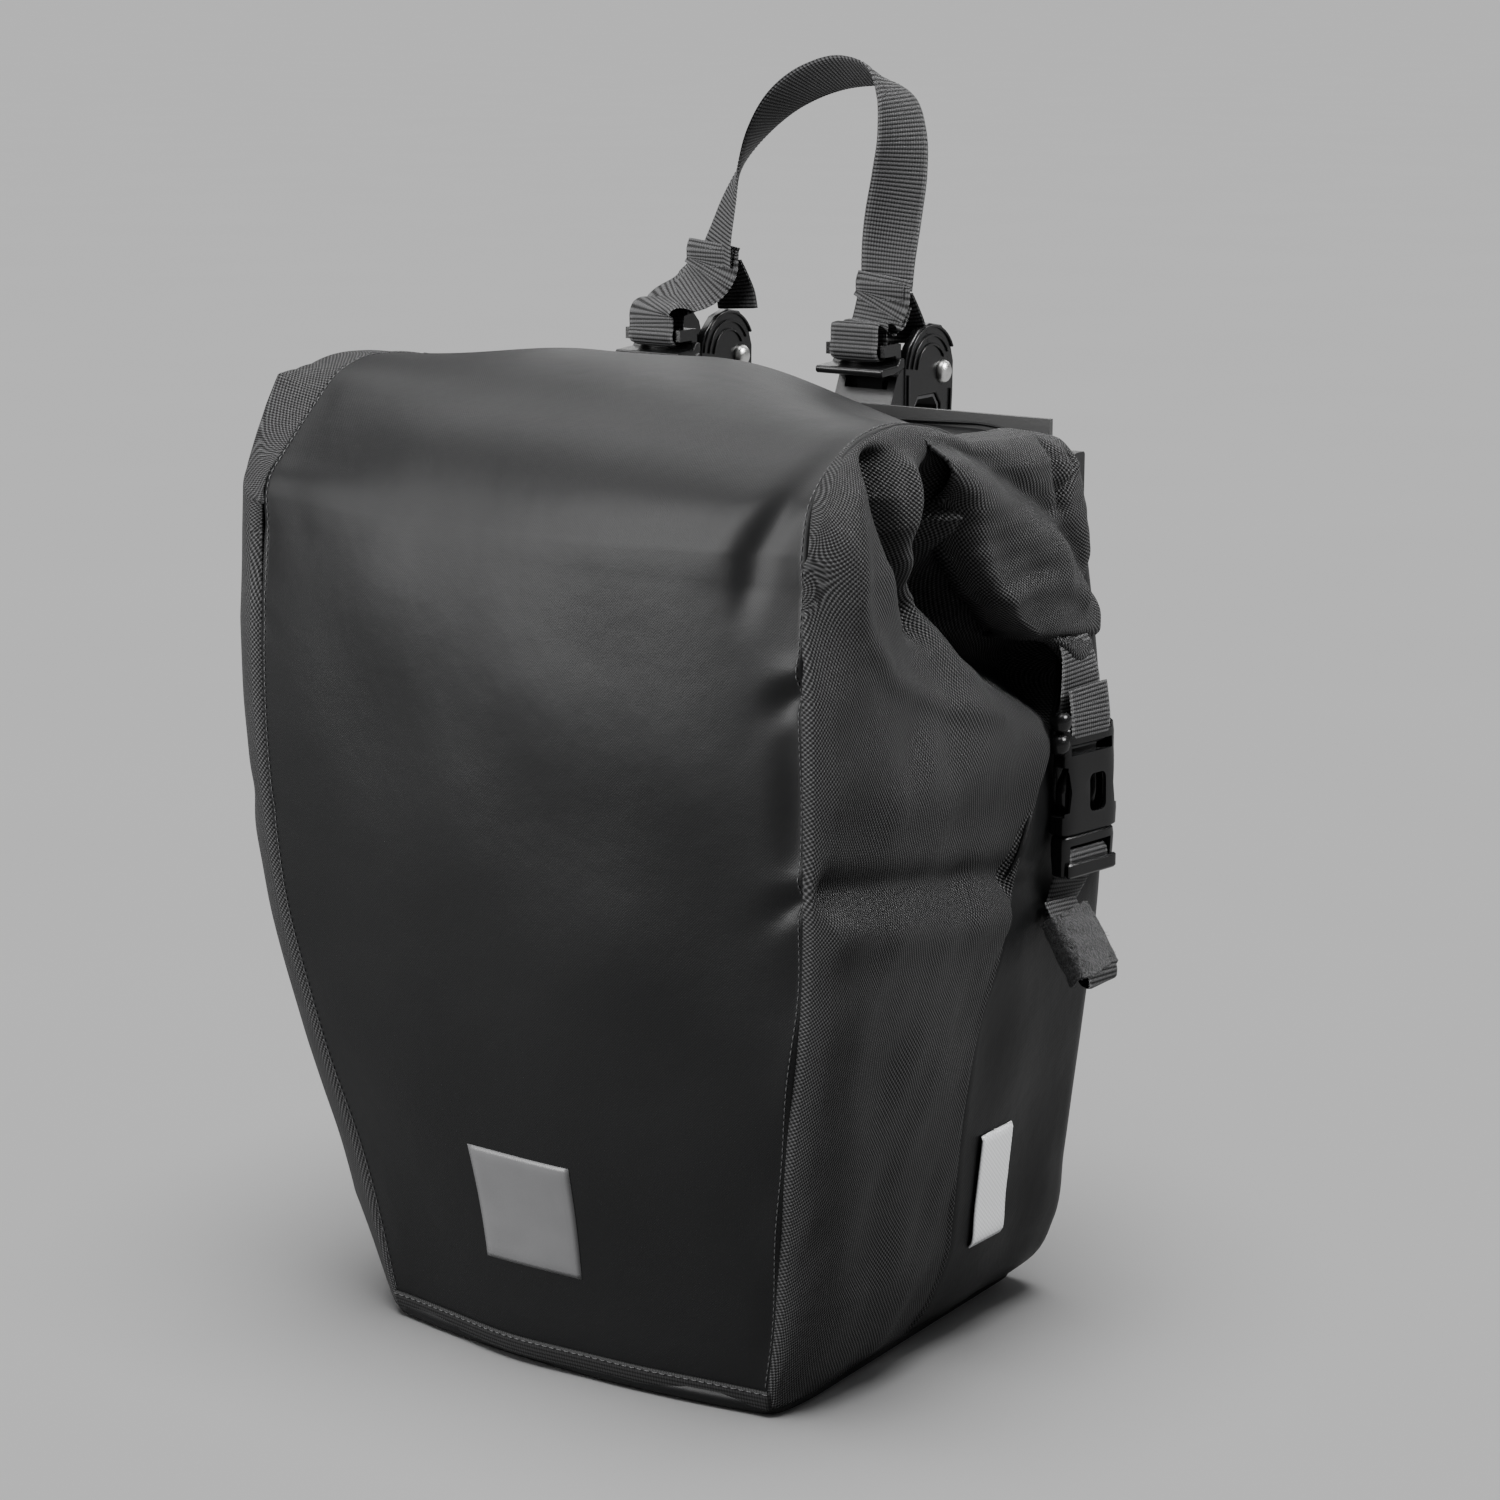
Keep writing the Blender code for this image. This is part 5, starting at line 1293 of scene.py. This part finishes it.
def build_handle_loop(name, hook_x, top, nylon, thread):
    """Sewn end: a patch over the join, a loop round the latch bar and a tether behind it."""
    x, z = top
    bar_out, bar_z, ring_radius = 0.0068, 0.4010, 0.0044
    path = [on_back(x + 0.0004, 0.0236, z + 0.0055), on_back(x - 0.0010, 0.0232, z - 0.0040),
            on_back((x + hook_x) / 2 - 0.001, 0.0165, z - 0.0160),
            on_back(hook_x, 0.0040, bar_z + 0.0110)]
    bend = [on_back(hook_x, bar_out + ring_radius * math.cos(a), bar_z + ring_radius * math.sin(a))
            for a in np.radians(np.linspace(150.0, 372.0, 9))]
    back = [on_back(hook_x, 0.0135, bar_z + 0.0110), on_back((x + hook_x) / 2, 0.0200, z - 0.0130),
            on_back(x, 0.0262, z - 0.0030)]
    points = path + bend + back
    widths = [(1.0, 0.15, -0.12)] * 2 + [(1.0, 0.05, -0.05)] + [(1.0, 0.0, 0.0)] * (len(points) - 5)
    widths += [(1.0, 0.10, -0.05), (1.0, 0.15, -0.12)]
    item = webbing(name + "_loop_webbing", points, widths, nylon, 0.0245, 0.0013)
    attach(item, "handle")
    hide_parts(name + "_handle_loop")
    patch = [on_back(x + 0.0012, 0.0224, z + 0.0085), on_back(x + 0.0010, 0.0212, z + 0.0060),
             on_back(x + 0.0002, 0.0213, z - 0.0020), on_back(x - 0.0016, 0.0206, z - 0.0060)]
    cover = webbing(name + "_loop_patch", patch, [(1.0, 0.15, -0.10)] * 4, nylon, 0.0262, 0.0013)
    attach(cover, "handle")
    tether = [on_back(x + 0.0020, 0.0275, z - 0.0010), on_back(x + 0.0030, 0.0310, z - 0.0070),
              on_back(x + 0.0035, 0.0350, z - 0.0140), on_back(x + 0.0035, 0.0375, z - 0.0220)]
    piece = webbing(name + "_tether_webbing", tether, [(1.0, 0.20, 0.0)] * 4, nylon, 0.0200, 0.0013)
    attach(piece, "handle")
    box_stitch(name, patch, thread)


def box_stitch(name, patch, thread):
    """Box of thread that holds the patch on the strap."""
    low, high = np.array(patch[2]), np.array(patch[1])
    left, right = (-0.0105, -0.0011, 0), (0.0105, 0.0002, 0)
    corners = [low + left, low + right, high + right, high + left, low + left]
    line = np.concatenate([np.linspace(a, b, 12) for a, b in zip(corners, corners[1:])])
    normals = [(0.0, -1.0, 0.2)] * len(line)
    item = stitches(name + "_patch_thread", line, normals, thread, None, 0.0024, 0.0018)
    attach(item, "handle")


# ---------------------------------------------------------------- hook details
PIN_OUT, PIN_Z = 0.0520, 0.3880


def from_back(outline):
    """Outline given as distance beyond the back wall and height, in world Y and Z."""
    return [(BACK_Y + out, z) for out, z in outline]


def arc_band(centre, radius, width, start, end):
    """Outline of a curved rib."""
    outer, inner = (ring(centre, radius + gap, 20, start, end) for gap in (width / 2, -width / 2))
    return outer + inner[::-1]


def dome(name, x, side, radius, height, material):
    """Rivet head on a hook's pin, domed towards the given side."""
    profile = [(0.90, 0.0), (1.0, 0.10), (0.98, 0.35), (0.86, 0.66), (0.62, 0.88), (0.32, 0.98),
               (0.02, 1.0)]
    around = 36
    angle = circle_angles(around)
    rows = [np.c_[np.full(around, x + side * height * h), BACK_Y + PIN_OUT + radius * r * np.cos(angle),
                  PIN_Z + radius * r * np.sin(angle)] for r, h in profile]
    faces = grid_faces(len(rows), around, around=True)
    if side > 0:
        faces = [f[::-1] for f in faces]
    return add_mesh(name, np.array(rows), faces, material)


def build_hook_trim(name, hook_x, plastic, steel):
    """Raised cheeks with curved ribs, rivet heads on the pin, and the lever's front plate."""
    cheek = from_back([
        (0.0205, 0.3780), (0.0205, 0.3930), (0.0235, 0.4010), (0.0310, 0.4078), (0.0410, 0.4105),
        (0.0510, 0.4088), (0.0580, 0.4020), (0.0614, 0.3920), (0.0612, 0.3780), (0.0592, 0.3450),
        (0.0555, 0.3326), (0.0520, 0.3326), (0.0505, 0.3450), (0.0505, 0.3740), (0.0465, 0.3790),
        (0.0320, 0.3790), (0.0280, 0.3740), (0.0280, 0.3560), (0.0205, 0.3480)])
    ribs = [arc_band((BACK_Y + 0.0420, 0.3890), radius, 0.0011, 28.0, 172.0)
            for radius in (0.0200, 0.0160, 0.0120)]
    ribs.append(from_back([(0.0222, 0.3520), (0.0236, 0.3520), (0.0236, 0.3890), (0.0222, 0.3890)]))
    ribs.append(from_back([(0.0560, 0.3420), (0.0574, 0.3440), (0.0592, 0.3800), (0.0578, 0.3800)]))
    for side, label in ((-1, "left"), (1, "right")):
        low, high = sorted((hook_x + side * 0.0118, hook_x + side * 0.0156))
        piece = plate("%s_hook_cheek_%s" % (name, label), cheek, "X", low, high, plastic, 0.0007)
        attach(piece, "hook_" + name)
        low, high = sorted((hook_x + side * 0.0152, hook_x + side * 0.0165))
        for k, rib in enumerate(ribs):
            piece = plate("%s_hook_rib_%s_%d" % (name, label, k), rib, "X", low, high, plastic, 0.0003)
            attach(piece, "hook_" + name)
        head = dome("%s_rivet_%s" % (name, label), hook_x + side * 0.0150, side, 0.0052, 0.0040, steel)
        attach(head, "hook_" + name)
    front = from_back([(-0.0004, 0.3904), (-0.0014, 0.3914), (-0.0014, 0.3930), (-0.0006, 0.3938),
                       (0.0120, 0.3944), (0.0142, 0.3972), (0.0176, 0.3972), (0.0176, 0.3930),
                       (0.0090, 0.3908)])
    piece = plate(name + "_lever_plate", front, "X", hook_x - 0.0172, hook_x + 0.0172, plastic, 0.0006)
    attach(piece, "latch_" + name)


# ---------------------------------------------------------------- CAD nodes that stay
def finish_cad_nodes(looks):
    """Gives every CAD node that is still shown its material and soft moulded edges."""
    for name, item in frame["nodes"].items():
        if item.hide_render:
            continue
        for word, material, radius in looks:
            if word in name:
                item.data.materials.clear()
                item.data.materials.append(material)
                if radius:
                    soften(item, radius, 2)
                break


# ---------------------------------------------------------------- camera, light, floor
CAMERA_PLACE, CAMERA_LENS, SENSOR_WIDTH = (0.8307, -1.1909, 0.5726), 83.74, 36.0
CAMERA_BACK, CAMERA_RIGHT = (0.5500, -0.8044, 0.2246), (0.8255, 0.5644, 0.0)


def build_camera():
    """Camera about 1.4 m off, 34 degrees round towards the rear end and 13 degrees up."""
    data = bpy.data.cameras.new("camera")
    data.sensor_width, data.lens = SENSOR_WIDTH, CAMERA_LENS
    camera = add_object("camera", data)
    back, right = Vector(CAMERA_BACK).normalized(), Vector(CAMERA_RIGHT).normalized()
    up = back.cross(right)
    turn = Matrix((right, up, back)).transposed()
    camera.matrix_world = Matrix.Translation(CAMERA_PLACE) @ turn.to_4x4()
    bpy.context.scene.camera = camera


def area_light(name, place, target, wide, tall, power):
    data = bpy.data.lights.new(name, "AREA")
    data.shape, data.size, data.size_y, data.energy = "RECTANGLE", wide, tall, power
    light = add_object(name, data)
    light.location = place
    light.rotation_euler = (Vector(target) - Vector(place)).to_track_quat("-Z", "Y").to_euler()
    return light


def light_only_the_bag(lights, floor):
    """Keeps the softboxes off the floor, so that the floor stays evenly pale."""
    lit = bpy.data.collections.new("softbox_subjects")
    for item in bpy.context.scene.objects:
        if item.type == "MESH" and item != floor:
            lit.objects.link(item)
    for light in lights:
        light.light_linking.receiver_collection = lit


FLOOR_HEIGHT = -0.0068     # just under the sag of the bag's base


def build_stage():
    """Pale round floor, even grey-white sky, one soft sun and four softboxes."""
    s = Shader("pale_floor", roughness=0.9, specular=0.2)
    s.colour(s.noise(3.0, 2.0), (0.86, 0.86, 0.86), (0.90, 0.90, 0.90))
    builder = bmesh.new()
    bmesh.ops.create_circle(builder, cap_ends=True, segments=96, radius=40.0)
    mesh = bpy.data.meshes.new("floor")
    builder.to_mesh(mesh)
    builder.free()
    mesh.materials.append(s.material)
    floor = add_object("floor", mesh)
    floor.location.z = FLOOR_HEIGHT
    world = bpy.data.worlds.new("studio")
    world.use_nodes = True
    sky = world.node_tree.nodes["Background"].inputs
    sky["Color"].default_value = (0.94, 0.94, 0.95, 1.0)
    sky["Strength"].default_value = 0.10
    bpy.context.scene.world = world
    sun = bpy.data.lights.new("overhead", "SUN")
    sun.energy, sun.angle = 2.0, math.radians(40.0)
    overhead = add_object("overhead", sun)
    overhead.rotation_euler = (math.radians(6.0), math.radians(4.0), 0.0)
    softboxes = [
        area_light("front_left_softbox", (-0.44, -1.02, 0.70), (0.0, -0.1, 0.34), 0.75, 1.00, 39.0),
        area_light("crest_softbox", (-0.70, 0.05, 1.65), (0.0, -0.05, 0.38), 1.1, 1.1, 19.0),
        area_light("rear_softbox", (-0.35, 1.05, 1.10), (0.0, 0.0, 0.30), 1.1, 1.1, 8.0),
        area_light("right_softbox", (0.80, 0.30, 1.00), (0.14, 0.0, 0.45), 0.50, 0.50, 2.4)]
    softboxes[-1].data.spread = math.radians(40.0)
    return floor, softboxes


def main():
    coated, woven, nylon = coated_fabric(), woven_nylon(), webbing_nylon()
    plastic, felt, steel, thread = moulded_plastic(), brushed_felt(), zinc_steel(), sewing_thread()
    build_camera()
    floor, softboxes = build_stage()
    face = build_outward(coated)
    stitch_face(face, thread)
    build_binding(face, webbing_nylon("binding_tape", 0.014), thread)
    build_badge(face, badge_film())
    build_back(coated)
    build_base(coated)
    build_roll(coated)
    film = reflective_film()
    for name, side, crest in (("rear", 1, CREST_REAR), ("front", -1, CREST_FRONT)):
        build_end(name, side, crest, woven)
        build_ear(name, side, woven)
        build_end_straps(name, side, nylon)
        build_female(name, side, plastic)
        build_male(name, side, plastic)
        build_tail(name, side, nylon, felt)
        build_reflector(name, side, film)
    build_handle(nylon, thread)
    for name, hook_x in HOOK_X.items():
        build_hook_trim(name, hook_x, plastic, steel)
    finish_cad_nodes([
        ("insert", moulded_plastic("insert_plastic", 0.020, 0.026, 0.40, 0.52), 0.0003),
        ("spring", steel, 0.0), ("pin", steel, 0.0005), ("screw", steel, 0.0003),
        ("nut_strip", steel, 0.0004), ("board", board_plastic(), 0.0005),
        ("stiffener", board_plastic(), 0.0004), ("", plastic, 0.0006)])
    light_only_the_bag(softboxes, floor)


main()
